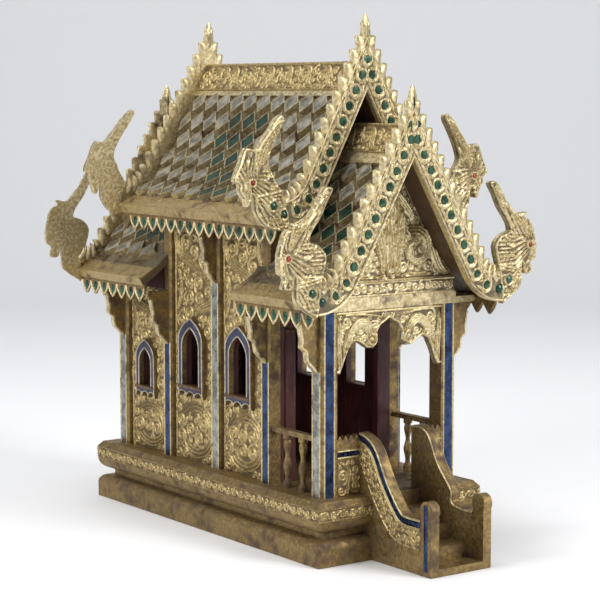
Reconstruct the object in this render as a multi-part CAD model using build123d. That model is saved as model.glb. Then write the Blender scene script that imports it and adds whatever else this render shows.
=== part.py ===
from build123d import *
import os
from math import cos, degrees, radians, sin, sqrt, tan

# Spirit house: a gilded wooden model shrine on a moulded plinth. Millimetres, +Z up.
# The origin is the middle of the plinth's underside. The porch and the stair face -Y.

# Plinth
PLINTH_MARGIN_X = 19.2  # from the posts' outer faces to the plinth's edge
PLINTH_MARGIN_Y = 20.5
FOOT_EDGE = 18.5  # upright edge of the foot
FOOT_TOP = 27.0  # top of the foot's rounded shoulder
FOOT_SHOULDER = 10.0  # how far the shoulder draws in
NECK_INSET = 15.0
NECK_TOP = 35.0
CORNICE_SPRING = 47.0  # where the ovolo reaches the fascia
CORNICE_STEP = 9.0  # inset at the foot of the ovolo
FASCIA_TOP = 62.0
DECK = 67.8  # the floor of the porch and of the room
DECK_BEVEL = 5.0

# Posts, bays and walls
BODY_WIDTH = 181.6  # over the outer faces of the posts
CORNER_POST = 20.0
MIDDLE_POST = 15.0
POST_CHAMFER = 2.4
REAR_BAY = 84.0  # clear widths between the posts, from the rear
MIDDLE_BAY = 87.0
FRONT_BAY = 84.5
PORCH_BAY = 76.5
WALL_RECESS = 8.0  # from the posts' outer faces to the boards' outer faces
WALL_THICK = 7.0
LOW_STOREY = 196.2  # from the deck to the underside of the plates under the lower roofs
HIGH_STOREY = 81.0  # from there to the underside of the plates under the upper roof
PLATE_WIDTH = 13.0
SEAT = 0.3  # gap between pieces that are fitted but don't touch

# Door and windows
SIDE_BOARD = 18.8  # from the doorway to the front posts of the room
DOOR_HEAD = 28.0  # board over the doorway
JAMB_WIDTH = 13.0
JAMB_PROUD = 2.0
FRAME_THICK = 6.0
FRAME_BORDER = 8.0
APRON_DROP = 13.0
# each window: shift from the middle of its bay, opening width,
# and over the deck: the sill, the top of the opening, the tip of the frame
WINDOWS = [(4.5, 26.0, 75.2, 121.2, 132.2),
           (4.0, 35.0, 87.2, 155.2, 166.7),
           (6.75, 35.0, 88.2, 155.2, 167.2)]

# Porch
RAIL_HEIGHT = 63.7
RAIL_THICK = 5.5
RAIL_WIDTH = 8.0
BALUSTER_COUNT = 2
BALUSTER_PITCH = 28.5
BALUSTER_RADIUS = 5.0
PANEL_THICK = 7.0
PANEL_HEIGHT = 59.2
CROWN_RISE = 5.5
CROWN_POINTS = 4
ARCH_THICK = 6.0
ARCH_INSET = 2.5
BEAM_THICK = 13.0
BEAM_HEIGHT = 13.0
NOSE_HEIGHT = 7.0
NOSE_BEVEL = 3.0
FRIEZE_HEIGHT = 17.0
FRIEZE_INSET = 3.0
PEDIMENT_THICK = 7.0
PEDIMENT_INSET = 3.5

# Stair
STAIR_WIDTH = 81.0
STAIR_REACH = 98.5  # in front of the plinth
TREADS = 5
LOWEST_TREAD = 8.0
TREAD_DEPTH = 26.2
PARAPET_THICK = 10.8
PARAPET_RISE = 66.2  # over the deck
PARAPET_LOW = 58.0
RIGHT_FULLER = 9.0  # the right parapet's curve is this much higher than the left one's
NEWEL_LENGTH = 17.0
NEWEL_TOP = 63.0
KNOB_HEIGHT = 15.0

# Roofs: each slope is a straight rafter, then a hollow arc that still falls a little at the eave
SHELL = 8.0
UPPER_ANGLE = 62.4
UPPER_END_ANGLE = 28.0
UPPER_RADIUS = 184.3
UPPER_OVERHANG = 24.2  # beyond the posts' outer faces
UPPER_EAVE_RISE = 8.0  # from the high plates' underside to the roof's underside at the eave
UPPER_FRONT_REACH = 54.0  # from the room's front wall to the bargeboards' outer face
UPPER_REAR_REACH = 61.5
UPPER_CAP = 2.6
LOWER_ANGLE = 60.0
LOWER_END_ANGLE = 30.0
LOWER_RADIUS = 200.7
LOWER_OVERHANG = 33.2
LOWER_EAVE_RISE = 7.0
LOWER_REACH = 37.9  # from the body's ends to the bargeboards' outer face
LOWER_CAP = 6.0
FRONT_TAIL = 18.0  # how far the lower eaves run on beside the high walls
REAR_TAIL = 10.5
CAP_WIDTH = 37.0

# Gables
BARGE_WIDTH = 28.0
BARGE_THICK = 7.0
UPPER_BARGE_RADIUS = 66.0
UPPER_BARGE_DROP = 1.8  # its lower edge under the roof's eave
LOWER_BARGE_RADIUS = 57.6
LOWER_BARGE_DROP = 4.2
FINIAL_RISE = 21.0
FINIAL_HALF = 9.0
REAR_LEAN = 4.8  # the upper rear gable leans towards the front, in degrees

# Trim
FRINGE_DROP = 20.0
FRINGE_THICK = 2.6
FRINGE_PITCH = 19.5
FRINGE_BAND = 6.0  # the unbroken strip over the leaves
FRINGE_INSET = 1.0
BRACKET_THICK = 6.0
BRACKET_REACH = 23.0
HIGH_BRACKET_REACH = 18.0
BRACKET_DROP = 62.0
LOW_BRACKET_GAP = 1.0  # from a bracket's top to its plate
HIGH_BRACKET_GAP = 3.0

post_face = BODY_WIDTH / 2
wall_face = post_face - WALL_RECESS
wall_back = wall_face - WALL_THICK
middle_back = post_face - MIDDLE_POST
corner_back = post_face - CORNER_POST
door_half = middle_back - SIDE_BOARD
body_length = 2 * CORNER_POST + 3 * MIDDLE_POST + REAR_BAY + MIDDLE_BAY + FRONT_BAY + PORCH_BAY
front_face = -body_length / 2
rear_face = body_length / 2
cella_rear = rear_face - CORNER_POST - REAR_BAY
post_2 = cella_rear - MIDDLE_POST / 2  # middles of the posts along Y, from the rear
post_3 = post_2 - MIDDLE_POST - MIDDLE_BAY
post_4 = post_3 - MIDDLE_POST - FRONT_BAY
cella_front = post_4 - MIDDLE_POST / 2
front_post = front_face + CORNER_POST / 2
rear_post = rear_face - CORNER_POST / 2
plinth_half_x = post_face + PLINTH_MARGIN_X
plinth_half_y = rear_face + PLINTH_MARGIN_Y
low_plate = DECK + LOW_STOREY
high_plate = low_plate + HIGH_STOREY
door_top = low_plate - DOOR_HEAD
stair_half = STAIR_WIDTH / 2
stair_front = -plinth_half_y - STAIR_REACH
stair_back = front_face + SEAT
upper_front_end = cella_front - UPPER_FRONT_REACH + BARGE_THICK
upper_rear_end = cella_rear + UPPER_REAR_REACH - BARGE_THICK
lower_end = rear_face + LOWER_REACH - BARGE_THICK

os.makedirs("parts", exist_ok=True)


def save(name, *solids):
    """Write one node's STEP file."""
    export_step(Compound(list(solids)), f"parts/{name}.step")


def block(x0, x1, y0, y1, z0, z1):
    """A box between two corners."""
    return Pos(x0, y0, z0) * Box(x1 - x0, y1 - y0, z1 - z0, align=(Align.MIN,) * 3)


def plate_xz(edges, y0, y1):
    """A flat piece cut to an outline in X and Z, from y0 to y1."""
    return Pos(0, y1, 0) * extrude(Plane.XZ * make_face(edges), amount=y1 - y0)


def plate_yz(edges, x0, x1):
    """A flat piece cut to an outline in Y and Z, from x0 to x1."""
    return Pos(x0, 0, 0) * extrude(Plane.YZ * make_face(edges), amount=x1 - x0)


def closed(*points):
    """Straight edges round a closed outline."""
    return Polyline(*points, close=True)


def other_side(solid):
    """The same piece on the other side of the middle plane."""
    return mirror(solid, about=Plane.YZ)


# ---------------------------------------------------------------- plinth
def profile_side(half, sign, steps):
    """Edges up one side of a moulding; a step is (inset, height, bulge)."""
    edges = []
    for (inset_a, z_a, _), (inset_b, z_b, bulge) in zip(steps, steps[1:]):
        start = Vector(sign * (half - inset_a), z_a)
        end = Vector(sign * (half - inset_b), z_b)
        if bulge == 0:
            edges.append(Line(start, end))
        else:
            middle = (start + end) * 0.5 + Vector(sign * bulge, bulge * (1 if inset_b > inset_a else -1))
            edges.append(ThreePointArc(start, middle, end))
    return edges


def moulding(steps):
    """A block with the same moulding on all four sides, mitred at its corners."""
    inset_low, z_low, _ = steps[0]
    inset_top, z_top, _ = steps[-1]
    prisms = []
    sides = ((plinth_half_x, plinth_half_y, Plane.XZ), (plinth_half_y, plinth_half_x, Plane.YZ))
    for half, length, plane in sides:
        edges = profile_side(half, 1, steps) + profile_side(half, -1, steps)
        edges.append(Line((-half + inset_low, z_low), (half - inset_low, z_low)))
        edges.append(Line((-half + inset_top, z_top), (half - inset_top, z_top)))
        prisms.append(extrude(plane * make_face(edges), amount=length, both=True))
    return prisms[0] & prisms[1]


notch = block(-stair_half, stair_half, -plinth_half_y, stair_back, 0, DECK)
foot_steps = [(0, 0, 0), (0, FOOT_EDGE, 0), (FOOT_SHOULDER, FOOT_TOP, 1.6)]
neck_steps = [(NECK_INSET, FOOT_TOP, 0), (NECK_INSET, NECK_TOP, 0)]
cornice_steps = [(CORNICE_STEP, NECK_TOP, 0), (0, CORNICE_SPRING, 1.6), (0, FASCIA_TOP, 0),
                 (DECK_BEVEL, DECK, 0)]
save("base_slab", moulding(foot_steps) - notch)
save("base_neck", moulding(neck_steps) - notch)
save("base_cornice", moulding(cornice_steps) - notch)


# ---------------------------------------------------------------- stair
tread_rise = (DECK - LOWEST_TREAD) / (TREADS - 1)
tread_half = stair_half - PARAPET_THICK

flight_points = [(stair_back, 0), (stair_front, 0)]
for i in range(TREADS):
    nose = stair_front + i * TREAD_DEPTH
    top = LOWEST_TREAD + i * tread_rise
    flight_points.append((nose, top))
    flight_points.append((nose + TREAD_DEPTH if i < TREADS - 1 else stair_back, top))
save("stair_flight", plate_yz(closed(*flight_points), -tread_half, tread_half))


def parapet(fuller):
    """A parapet on the right of the flight: a swan-necked slope that ends at a round-headed newel."""
    newel_back = stair_front + NEWEL_LENGTH
    run = newel_back - stair_back
    top = DECK + PARAPET_RISE
    edges = [
        Line((stair_back, 0), (stair_back, top)),
        Spline(
            (stair_back, top),
            (stair_back + run * 0.24, top - 10 + fuller),
            (stair_back + run * 0.46, PARAPET_LOW + 32 + fuller),
            (stair_back + run * 0.68, PARAPET_LOW + 4 + fuller),
            (newel_back, PARAPET_LOW),
            tangents=[(-1, 0.06 * fuller - 0.1), (-1, 0)],
        ),
        Line((newel_back, PARAPET_LOW), (newel_back, NEWEL_TOP)),
        ThreePointArc((newel_back, NEWEL_TOP), ((newel_back + stair_front) / 2, NEWEL_TOP + KNOB_HEIGHT),
                      (stair_front, NEWEL_TOP)),
        Line((stair_front, NEWEL_TOP), (stair_front, 0)),
        Line((stair_front, 0), (stair_back, 0)),
    ]
    return plate_yz(edges, tread_half, stair_half)


save("stair_parapet_right", parapet(RIGHT_FULLER))
save("stair_parapet_left", other_side(parapet(0)))


# ---------------------------------------------------------------- roof slopes
class Slope:
    """One roof slope on the +X side, seen as a curve in X and Z.

    It is a straight rafter at one angle, then an arc that ends at the eave at a flatter angle.
    """

    def __init__(self, angle, end_angle, eave, eave_z, radius):
        self.angle = radians(angle)
        self.end_angle = radians(end_angle)
        self.eave = eave
        self.eave_z = eave_z
        self.radius = radius
        self.centre_x = eave + radius * sin(self.end_angle)
        self.centre_z = eave_z + radius * cos(self.end_angle)
        self.knee_x, self.knee_z = self.on_arc(self.angle)
        self.apex = self.knee_z + self.knee_x * tan(self.angle)

    def on_arc(self, angle):
        """The point of the arc where the slope has an angle."""
        return self.centre_x - self.radius * sin(angle), self.centre_z - self.radius * cos(angle)

    def lifted(self, rise):
        """The same slope moved square to itself, outwards for a positive rise."""
        eave = self.eave + rise * sin(self.end_angle)
        eave_z = self.eave_z + rise * cos(self.end_angle)
        return Slope(degrees(self.angle), degrees(self.end_angle), eave, eave_z, self.radius - rise)

    def height(self, x):
        """Height of the curve at x."""
        if abs(x) < self.knee_x:
            return self.apex - abs(x) * tan(self.angle)
        return self.centre_z - sqrt(self.radius**2 - (self.centre_x - abs(x))**2)

    def edges(self):
        """The curve's edges, from the ridge to the eave."""
        middle = self.on_arc((self.angle + self.end_angle) / 2)
        return [
            Line((0, self.apex), (self.knee_x, self.knee_z)),
            ThreePointArc((self.knee_x, self.knee_z), middle, (self.eave, self.eave_z)),
        ]


upper_slope = Slope(UPPER_ANGLE, UPPER_END_ANGLE, post_face + UPPER_OVERHANG, high_plate + UPPER_EAVE_RISE,
                    UPPER_RADIUS)
lower_slope = Slope(LOWER_ANGLE, LOWER_END_ANGLE, post_face + LOWER_OVERHANG, low_plate + LOWER_EAVE_RISE,
                    LOWER_RADIUS)


def band_between(inner, outer, y0, y1):
    """A board that follows a slope, from one lifted curve to another."""
    edges = inner.edges() + outer.edges()
    edges.append(Line((0, inner.apex), (0, outer.apex)))
    edges.append(Line((inner.eave, inner.eave_z), (outer.eave, outer.eave_z)))
    return plate_xz(edges, y0, y1)


def lean(solid):
    """The solid tipped towards the front, about the upper roof's eave line at its rear end."""
    axis = Axis((0, upper_rear_end, upper_slope.eave_z), (1, 0, 0))
    return solid.rotate(axis, REAR_LEAN)


tall = upper_slope.apex + 100
behind_lean = lean(block(-tall, tall, upper_rear_end, upper_rear_end + tall, 0, 2 * tall))


def roof_side(slope, y0, y1, eave_y0, eave_y1):
    """One roof shell from y0 to y1; outside the posts its eave may run on further."""
    shell = band_between(slope, slope.lifted(SHELL), eave_y0, eave_y1)
    inside = post_face + SEAT
    if eave_y0 < y0:
        shell -= block(-1, inside, eave_y0, y0, 0, tall)
    if eave_y1 > y1:
        shell -= block(-1, inside, y1, eave_y1, 0, tall)
    return shell


def ridge_cap(slope, thick, y0, y1):
    """Two thin boards over the ridge, joined along the top."""
    bed = slope.lifted(SHELL)
    top = slope.lifted(SHELL + thick)
    foot_x = CAP_WIDTH * cos(slope.angle)
    bed_z = bed.height(foot_x)
    top_x = foot_x + thick * sin(slope.angle)
    top_z = bed_z + thick * cos(slope.angle)
    outline = closed((0, bed.apex), (foot_x, bed_z), (top_x, top_z), (0, top.apex),
                     (-top_x, top_z), (-foot_x, bed_z))
    return plate_xz(outline, y0, y1)


# each roof: its slope, where its shell starts and ends, and where its eave does
roof_spans = {
    "upper_roof": (upper_slope, upper_front_end, upper_rear_end, upper_front_end, upper_rear_end),
    "front_roof": (lower_slope, -lower_end, cella_front, -lower_end, cella_front + FRONT_TAIL),
    "rear_roof": (lower_slope, cella_rear, lower_end, cella_rear - REAR_TAIL, lower_end),
}
for name, span in roof_spans.items():
    side = roof_side(*span)
    if name == "upper_roof":
        side -= behind_lean
    save(f"{name}_right", side)
    save(f"{name}_left", other_side(side))
save("ridge_caps", ridge_cap(upper_slope, UPPER_CAP, upper_front_end, upper_rear_end) - behind_lean,
     ridge_cap(lower_slope, LOWER_CAP, -lower_end, cella_front),
     ridge_cap(lower_slope, LOWER_CAP, cella_rear, lower_end))


# ---------------------------------------------------------------- posts, plates and walls
def post(y, size, top):
    """A square post on the right side, with its outer corners taken off."""
    body = block(post_face - size, post_face, y - size / 2, y + size / 2, DECK, top)
    outer = body.edges().filter_by(Axis.Z).group_by(Axis.X)[-1]
    return chamfer(outer, POST_CHAMFER)


posts = [post(rear_post, CORNER_POST, low_plate), post(front_post, CORNER_POST, low_plate)]
posts += [post(y, MIDDLE_POST, high_plate) for y in (post_2, post_3, post_4)]


def window_outline(middle, width, sill, top):
    """A window's opening: straight sides and a round-headed, slightly pointed top."""
    half = width / 2
    spring = top - half * 1.25
    return [
        Line((middle - half, sill), (middle + half, sill)),
        Line((middle + half, sill), (middle + half, spring)),
        ThreePointArc((middle + half, spring), (middle + half * 0.66, top - half * 0.34), (middle, top)),
        ThreePointArc((middle, top), (middle - half * 0.66, top - half * 0.34), (middle - half, spring)),
        Line((middle - half, spring), (middle - half, sill)),
    ]


# each bay that a window opens: its rear end along Y, its width and its height
bays = [(rear_face - CORNER_POST, REAR_BAY, low_plate),
        (post_2 - MIDDLE_POST / 2, MIDDLE_BAY, high_plate),
        (post_3 - MIDDLE_POST / 2, FRONT_BAY, high_plate)]
windows = []
boards = []
for (bay_rear, bay_width, top), (shift, width, sill, head, tip) in zip(bays, WINDOWS):
    window = (bay_rear - bay_width / 2 + shift, width, DECK + sill, DECK + head, DECK + tip)
    windows.append(window)
    board = block(wall_back, wall_face, bay_rear - bay_width, bay_rear, DECK, top)
    boards.append(board - plate_yz(window_outline(*window[:4]), wall_back - 1, wall_face + 1))


def window_frame(middle, width, sill, head, tip):
    """A pointed frame and a scalloped apron, cut from one board and fixed on the wall."""
    half = width / 2 + FRAME_BORDER
    spring = head - width * 0.4
    foot = sill - APRON_DROP
    scallop = 2 * half / 3
    edges = [
        Line((middle + half, foot), (middle + half, spring)),
        ThreePointArc((middle + half, spring), (middle + half * 0.62, (spring + tip) / 2 + 2), (middle, tip)),
        ThreePointArc((middle, tip), (middle - half * 0.62, (spring + tip) / 2 + 2), (middle - half, spring)),
        Line((middle - half, spring), (middle - half, foot)),
    ]
    for i in range(3):
        y = middle - half + i * scallop
        crown = (y + scallop / 2, foot + APRON_DROP / 2)
        edges.append(ThreePointArc((y, foot), crown, (y + scallop, foot)))
    opening = plate_yz(window_outline(middle, width, sill, head), wall_face - 1, wall_face + FRAME_THICK + 1)
    return plate_yz(edges, wall_face, wall_face + FRAME_THICK) - opening


frames = [window_frame(*window) for window in windows]


def under_roof(slope, half, foot, y0, y1):
    """A board with upright sides that rises to a roof's underside."""
    top = slope.lifted(-SEAT)
    edges = top.edges()
    edges.append(Line((top.eave, top.eave_z), (top.eave, foot - 1)))
    edges.append(Line((top.eave, foot - 1), (0, foot - 1)))
    edges.append(Line((0, foot - 1), (0, top.apex)))
    right = plate_xz(edges, y0, y1)
    return (right + other_side(right)) & block(-half, half, y0, y1, foot, slope.apex)


def eave_plate(slope, foot, inner, y0, y1):
    """A plate on the posts that carries a roof near its eave."""
    return block(inner, post_face, y0, y1, foot, slope.height(post_face) - SEAT)


beam_back = front_face + BEAM_THICK
plate_back = post_face - PLATE_WIDTH
plates = [
    eave_plate(lower_slope, low_plate, plate_back, beam_back, cella_front),
    eave_plate(upper_slope, high_plate, middle_back, cella_front, cella_rear),
    eave_plate(lower_slope, low_plate, plate_back, cella_rear, -beam_back),
]
save("eave_plates", *plates, *[other_side(s) for s in plates])
for side, turn in (("right", lambda s: s), ("left", other_side)):
    save(f"posts_{side}", *[turn(s) for s in posts])
    save(f"wall_panels_{side}", *[turn(s) for s in boards])
    save(f"window_frames_{side}", *[turn(s) for s in frames])

wall_front_back = cella_front + WALL_THICK
jamb = block(door_half, door_half + JAMB_WIDTH, cella_front - JAMB_PROUD, cella_front, DECK, door_top)
side_board = block(door_half, middle_back, cella_front, wall_front_back, DECK, low_plate) + jamb
save("front_wall_right", side_board)
save("front_wall_left", other_side(side_board))
save("front_wall_head", block(-door_half, door_half, cella_front, wall_front_back, door_top, low_plate))
rear_wall_face = rear_face - WALL_RECESS
save("rear_wall",
     block(-corner_back, corner_back, rear_wall_face - WALL_THICK, rear_wall_face, DECK, low_plate))
save("gable_wall_front", under_roof(upper_slope, middle_back, low_plate, cella_front, wall_front_back))
save("gable_wall_rear", under_roof(upper_slope, middle_back, low_plate, cella_rear - WALL_THICK, cella_rear))


# ---------------------------------------------------------------- porch
rail_x = post_face - MIDDLE_POST / 2
rail_top = DECK + RAIL_HEIGHT
rail_foot = rail_top - RAIL_THICK
porch_rear = cella_front
rail = block(rail_x - RAIL_WIDTH / 2, rail_x + RAIL_WIDTH / 2, porch_rear - PORCH_BAY, porch_rear,
             rail_foot, rail_top)


def baluster(y):
    """A turned baluster: base, two swellings and a neck between them."""
    height = rail_foot - DECK
    r = BALUSTER_RADIUS
    axis = [(0, 0), (r, 0), (r, height * 0.08)]
    swell = Spline((r, height * 0.08), (r * 0.55, height * 0.2), (r * 0.95, height * 0.42),
                   (r * 0.5, height * 0.62), (r * 0.85, height * 0.78), (r * 0.6, height * 0.92))
    top = [(r * 0.6, height * 0.92), (r, height * 0.92), (r, height), (0, height), (0, 0)]
    face = make_face([Polyline(*axis), swell, Polyline(*top)])
    return Pos(rail_x, y, DECK) * revolve(Plane.XZ * face, Axis.Z)


def porch_panel():
    """A low carved panel between the stair's parapet and the corner post, with a crown of points."""
    x0 = stair_half
    x1 = corner_back
    top = DECK + PANEL_HEIGHT
    pitch = (x1 - x0) / CROWN_POINTS
    points = [(x0, DECK), (x1, DECK), (x1, top)]
    for i in range(CROWN_POINTS):
        x = x1 - i * pitch
        points.append((x - pitch / 2, top + CROWN_RISE))
        points.append((x - pitch, top))
    return plate_xz(closed(*points), stair_back, stair_back + PANEL_THICK)


panel = porch_panel()
porch_middle = porch_rear - PORCH_BAY / 2
turned = []
for i in range(BALUSTER_COUNT):
    turned.append(baluster(porch_middle + (i - (BALUSTER_COUNT - 1) / 2) * BALUSTER_PITCH))
save("porch_rails", rail, other_side(rail))
save("porch_balusters", *turned, *[other_side(s) for s in turned])
save("porch_panels", panel, other_side(panel))

# Fretwork under the beam: each half hangs low at the post and rises in cusps to the middle.
# Each point is a share of the half span, and a depth under the beam.
ARCH = [(1, 0), (1, 65), (0.89, 61), (0.805, 45), (0.706, 35.5), (0.565, 35), (0.41, 40.5), (0.268, 38),
        (0.184, 27), (0.177, 17.5), (0.085, 12.5)]
arch_half = [(share * corner_back, low_plate - depth) for share, depth in ARCH]
arch_points = arch_half + [(-x, z) for x, z in reversed(arch_half)]
arch_y = front_face + ARCH_INSET
save("front_arch", plate_xz(closed(*arch_points), arch_y, arch_y + ARCH_THICK))


def beam(y0, y1):
    """The tie beam with its long noses, and the frieze board over it."""
    top = low_plate + BEAM_HEIGHT
    end = lower_slope.eave - LOWER_BARGE_DROP
    nose_top = low_plate + NOSE_HEIGHT
    low = block(-post_face, post_face, y0, y1, low_plate, top)
    right_end = [(end - NOSE_BEVEL, low_plate), (end, low_plate + NOSE_BEVEL), (end - NOSE_BEVEL, nose_top)]
    ends = plate_xz(closed(*right_end, *[(-x, z) for x, z in reversed(right_end)]), y0, y1)
    return low + ends + block(-frieze_half, frieze_half, y0, y1, top, frieze_top)


frieze_half = post_face - FRIEZE_INSET
frieze_top = low_plate + BEAM_HEIGHT + FRIEZE_HEIGHT
pediment_y = front_face + PEDIMENT_INSET
pediment_back = pediment_y + PEDIMENT_THICK
save("front_beam", beam(front_face, beam_back))
save("rear_beam", beam(-beam_back, rear_face))
save("front_pediment", under_roof(lower_slope, frieze_half, frieze_top, pediment_y, pediment_back))
save("rear_pediment", under_roof(lower_slope, frieze_half, frieze_top, -pediment_back, -pediment_y))


# ---------------------------------------------------------------- gables
def bargeboard(inner, y0, y1):
    """Half of a gable's pair: a broad board over a curve, with half of the finial at its top."""
    outer = inner.lifted(BARGE_WIDTH)
    board = band_between(inner, outer, y0, y1)
    side_z = outer.height(FINIAL_HALF)
    outline = closed((0, side_z - FINIAL_HALF), (FINIAL_HALF, side_z), (0, outer.apex + FINIAL_RISE))
    return board + plate_xz(outline, y0, y1)


# A naga's neck and head, as steps from the foot of the bargeboard's end, outwards and up:
# under the throat, round the beak, up the brow, the crest, then back down the nape.
NAGA_FACE = [(0, 0), (12, 1.5), (20, 8), (25, 18), (27.5, 30), (30, 35), (31, 27), (35, 23),
             (41, 31), (47, 40), (48, 50), (46, 62), (42, 74), (36, 84), (27, 86), (20, 84)]
NAGA_CREST = [(8, 100), (-5, 117), (-9, 118), (-2, 100)]
NAGA_NAPE = [(5, 82), (9, 66), (4, 52), (0, 46)]


def naga(foot, y0, y1, reach, crest_out, crest_up):
    """The naga head on the +X side, cut from one board with its neck."""
    crest = [(out + crest_out, up + crest_up) for out, up in NAGA_CREST]
    steps = NAGA_FACE + crest + NAGA_NAPE
    outline = [(foot.eave + out * reach, foot.eave_z + up) for out, up in steps]
    return plate_xz(closed(*outline), y0, y1)


upper_barge_foot = upper_slope.eave_z - UPPER_BARGE_DROP
lower_barge_foot = lower_slope.eave_z - LOWER_BARGE_DROP
upper_barge = Slope(UPPER_ANGLE, 0, upper_slope.eave, upper_barge_foot, UPPER_BARGE_RADIUS)
lower_barge = Slope(LOWER_ANGLE, 0, lower_slope.eave, lower_barge_foot, LOWER_BARGE_RADIUS)
# each gable: the curve of its lower edge, its board's faces, and its heads' reach and crest shift
gables = {
    "upper_front": (upper_barge, upper_front_end - BARGE_THICK, upper_front_end, 1.14, 0, 0),
    "upper_rear": (upper_barge, upper_rear_end, upper_rear_end + BARGE_THICK, 0.9, -9, 3),
    "lower_front": (lower_barge, -lower_end - BARGE_THICK, -lower_end, 1.0, -9, 11),
    "lower_rear": (lower_barge, lower_end, lower_end + BARGE_THICK, 1.0, -1.5, 2),
}
for name, (curve, y0, y1, reach, crest_out, crest_up) in gables.items():
    board = bargeboard(curve, y0, y1)
    head = naga(curve, y0, y1, reach, crest_out, crest_up)
    if name == "upper_rear":
        board = lean(board)
        head = lean(head)
    save(f"bargeboards_{name}", board, other_side(board))
    save(f"naga_heads_{name}", head, other_side(head))


# ---------------------------------------------------------------- trim
def fringe(slope, y0, y1):
    """A strip of pointed leaves that hangs under the eave, just behind its edge."""
    outer = slope.eave - FRINGE_INSET
    top = slope.height(outer)
    leaves = round((y1 - y0) / FRINGE_PITCH)
    pitch = (y1 - y0) / leaves
    points = [(y1, top), (y0, top), (y0, top - FRINGE_BAND)]
    for i in range(leaves):
        y = y0 + i * pitch
        points.append((y + pitch * 0.1, top - FRINGE_DROP * 0.5))
        points.append((y + pitch / 2, top - FRINGE_DROP))
        points.append((y + pitch * 0.9, top - FRINGE_DROP * 0.5))
        points.append((y + pitch, top - FRINGE_BAND))
    return plate_yz(closed(*points), outer - FRINGE_THICK, outer)


fringes = []
for slope, _, _, eave_y0, eave_y1 in roof_spans.values():
    fringes.append(fringe(slope, eave_y0 + SEAT, eave_y1 - SEAT))
save("eave_fringes", *fringes, *[other_side(s) for s in fringes])


def bracket(y, top, reach):
    """A carved eave bracket: a board that leans out from a post's outer face."""
    x = post_face
    foot = top - BRACKET_DROP
    outline = closed((x, foot), (x + reach * 0.55, foot + 13), (x + reach * 0.6, foot + 23),
                     (x + reach * 0.88, foot + 28), (x + reach * 0.83, foot + 36), (x + reach, foot + 52),
                     (x + reach * 0.95, top), (x, top))
    return plate_xz(outline, y - BRACKET_THICK / 2, y + BRACKET_THICK / 2)


low_bracket_top = low_plate - LOW_BRACKET_GAP
brackets = [bracket(y, low_bracket_top, BRACKET_REACH) for y in (rear_post, post_2, post_4, front_post)]
brackets.append(bracket(post_3, high_plate - HIGH_BRACKET_GAP, HIGH_BRACKET_REACH))
save("eave_brackets_right", *brackets)
save("eave_brackets_left", *[other_side(s) for s in brackets])
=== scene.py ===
import math

import bpy
import numpy as np
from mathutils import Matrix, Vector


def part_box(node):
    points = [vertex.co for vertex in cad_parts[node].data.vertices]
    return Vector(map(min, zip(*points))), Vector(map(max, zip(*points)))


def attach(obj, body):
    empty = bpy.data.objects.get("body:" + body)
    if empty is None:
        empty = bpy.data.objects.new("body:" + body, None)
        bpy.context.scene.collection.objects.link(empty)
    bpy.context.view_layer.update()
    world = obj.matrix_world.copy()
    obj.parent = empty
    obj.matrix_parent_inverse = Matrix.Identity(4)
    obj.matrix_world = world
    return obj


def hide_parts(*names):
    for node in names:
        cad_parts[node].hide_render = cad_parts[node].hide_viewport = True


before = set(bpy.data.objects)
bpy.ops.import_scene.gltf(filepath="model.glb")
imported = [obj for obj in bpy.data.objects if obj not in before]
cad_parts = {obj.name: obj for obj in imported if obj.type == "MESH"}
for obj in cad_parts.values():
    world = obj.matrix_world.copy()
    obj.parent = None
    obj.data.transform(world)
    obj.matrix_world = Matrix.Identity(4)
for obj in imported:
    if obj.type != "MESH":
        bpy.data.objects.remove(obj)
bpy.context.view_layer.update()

# ---------------------------------------------------------------- plinth
# The plinth is a box of moulded boards: a foot, a drawn-in neck and an ovolo cornice, mitred at
# the corners, sized and gilded. A running scroll is pressed into the gesso of the cornice's fascia.
MM = 0.001
GOLD = (0.52, 0.41, 0.20, 1)
PALE_GOLD = (0.76, 0.67, 0.45, 1)
OLD_GOLD = (0.36, 0.26, 0.11, 1)
BARE_WOOD = (0.085, 0.047, 0.02, 1)
# The two dark browns below darken low relief in the gilding: soot, and painted shade in the grooves.
SOOT_AND_SHADE = (0.045, 0.027, 0.012, 1)
BROWN_SOOT_AND_SHADE = (0.066, 0.04, 0.016, 1)


def add(tree, kind, inputs=None, **settings):
    """A shader node; each input is a socket to join to or a value to hold."""
    node = tree.nodes.new("ShaderNode" + kind)
    for key, value in settings.items():
        setattr(node, key, value)
    for key, value in (inputs or {}).items():
        if isinstance(value, bpy.types.NodeSocket):
            tree.links.new(value, node.inputs[key])
        else:
            node.inputs[key].default_value = value
    return node


def mixed(tree, factor, low, high):
    """The colour between low and high."""
    return add(tree, "Mix", {0: factor, 6: low, 7: high}, data_type="RGBA").outputs[2]


def ranged(tree, value, low, high, to_low, to_high):
    """A value carried from one range to another, held at its ends."""
    settings = {0: value, 1: low, 2: high, 3: to_low, 4: to_high}
    return add(tree, "MapRange", settings, interpolation_type="SMOOTHSTEP").outputs[0]


def noise(tree, place, scale, detail=3.0, rough=0.55):
    """A cloudy pattern, `scale` clouds to the metre."""
    settings = {"Vector": place, "Scale": scale, "Detail": detail, "Roughness": rough}
    return add(tree, "TexNoise", settings).outputs[0]


def new_material(name):
    """A material, its node tree and its shader."""
    material = bpy.data.materials.new(name)
    material.use_nodes = True
    return material, material.node_tree, material.node_tree.nodes["Principled BSDF"]


def effect(name, inputs, outputs):
    """An empty node group with named sockets, and its two ends."""
    group = bpy.data.node_groups.new(name, "ShaderNodeTree")
    for label, kind in inputs:
        group.interface.new_socket(label, in_out="INPUT", socket_type="NodeSocket" + kind)
    for label, kind in outputs:
        group.interface.new_socket(label, in_out="OUTPUT", socket_type="NodeSocket" + kind)
    return group, group.nodes.new("NodeGroupInput").outputs, group.nodes.new("NodeGroupOutput").inputs


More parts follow.
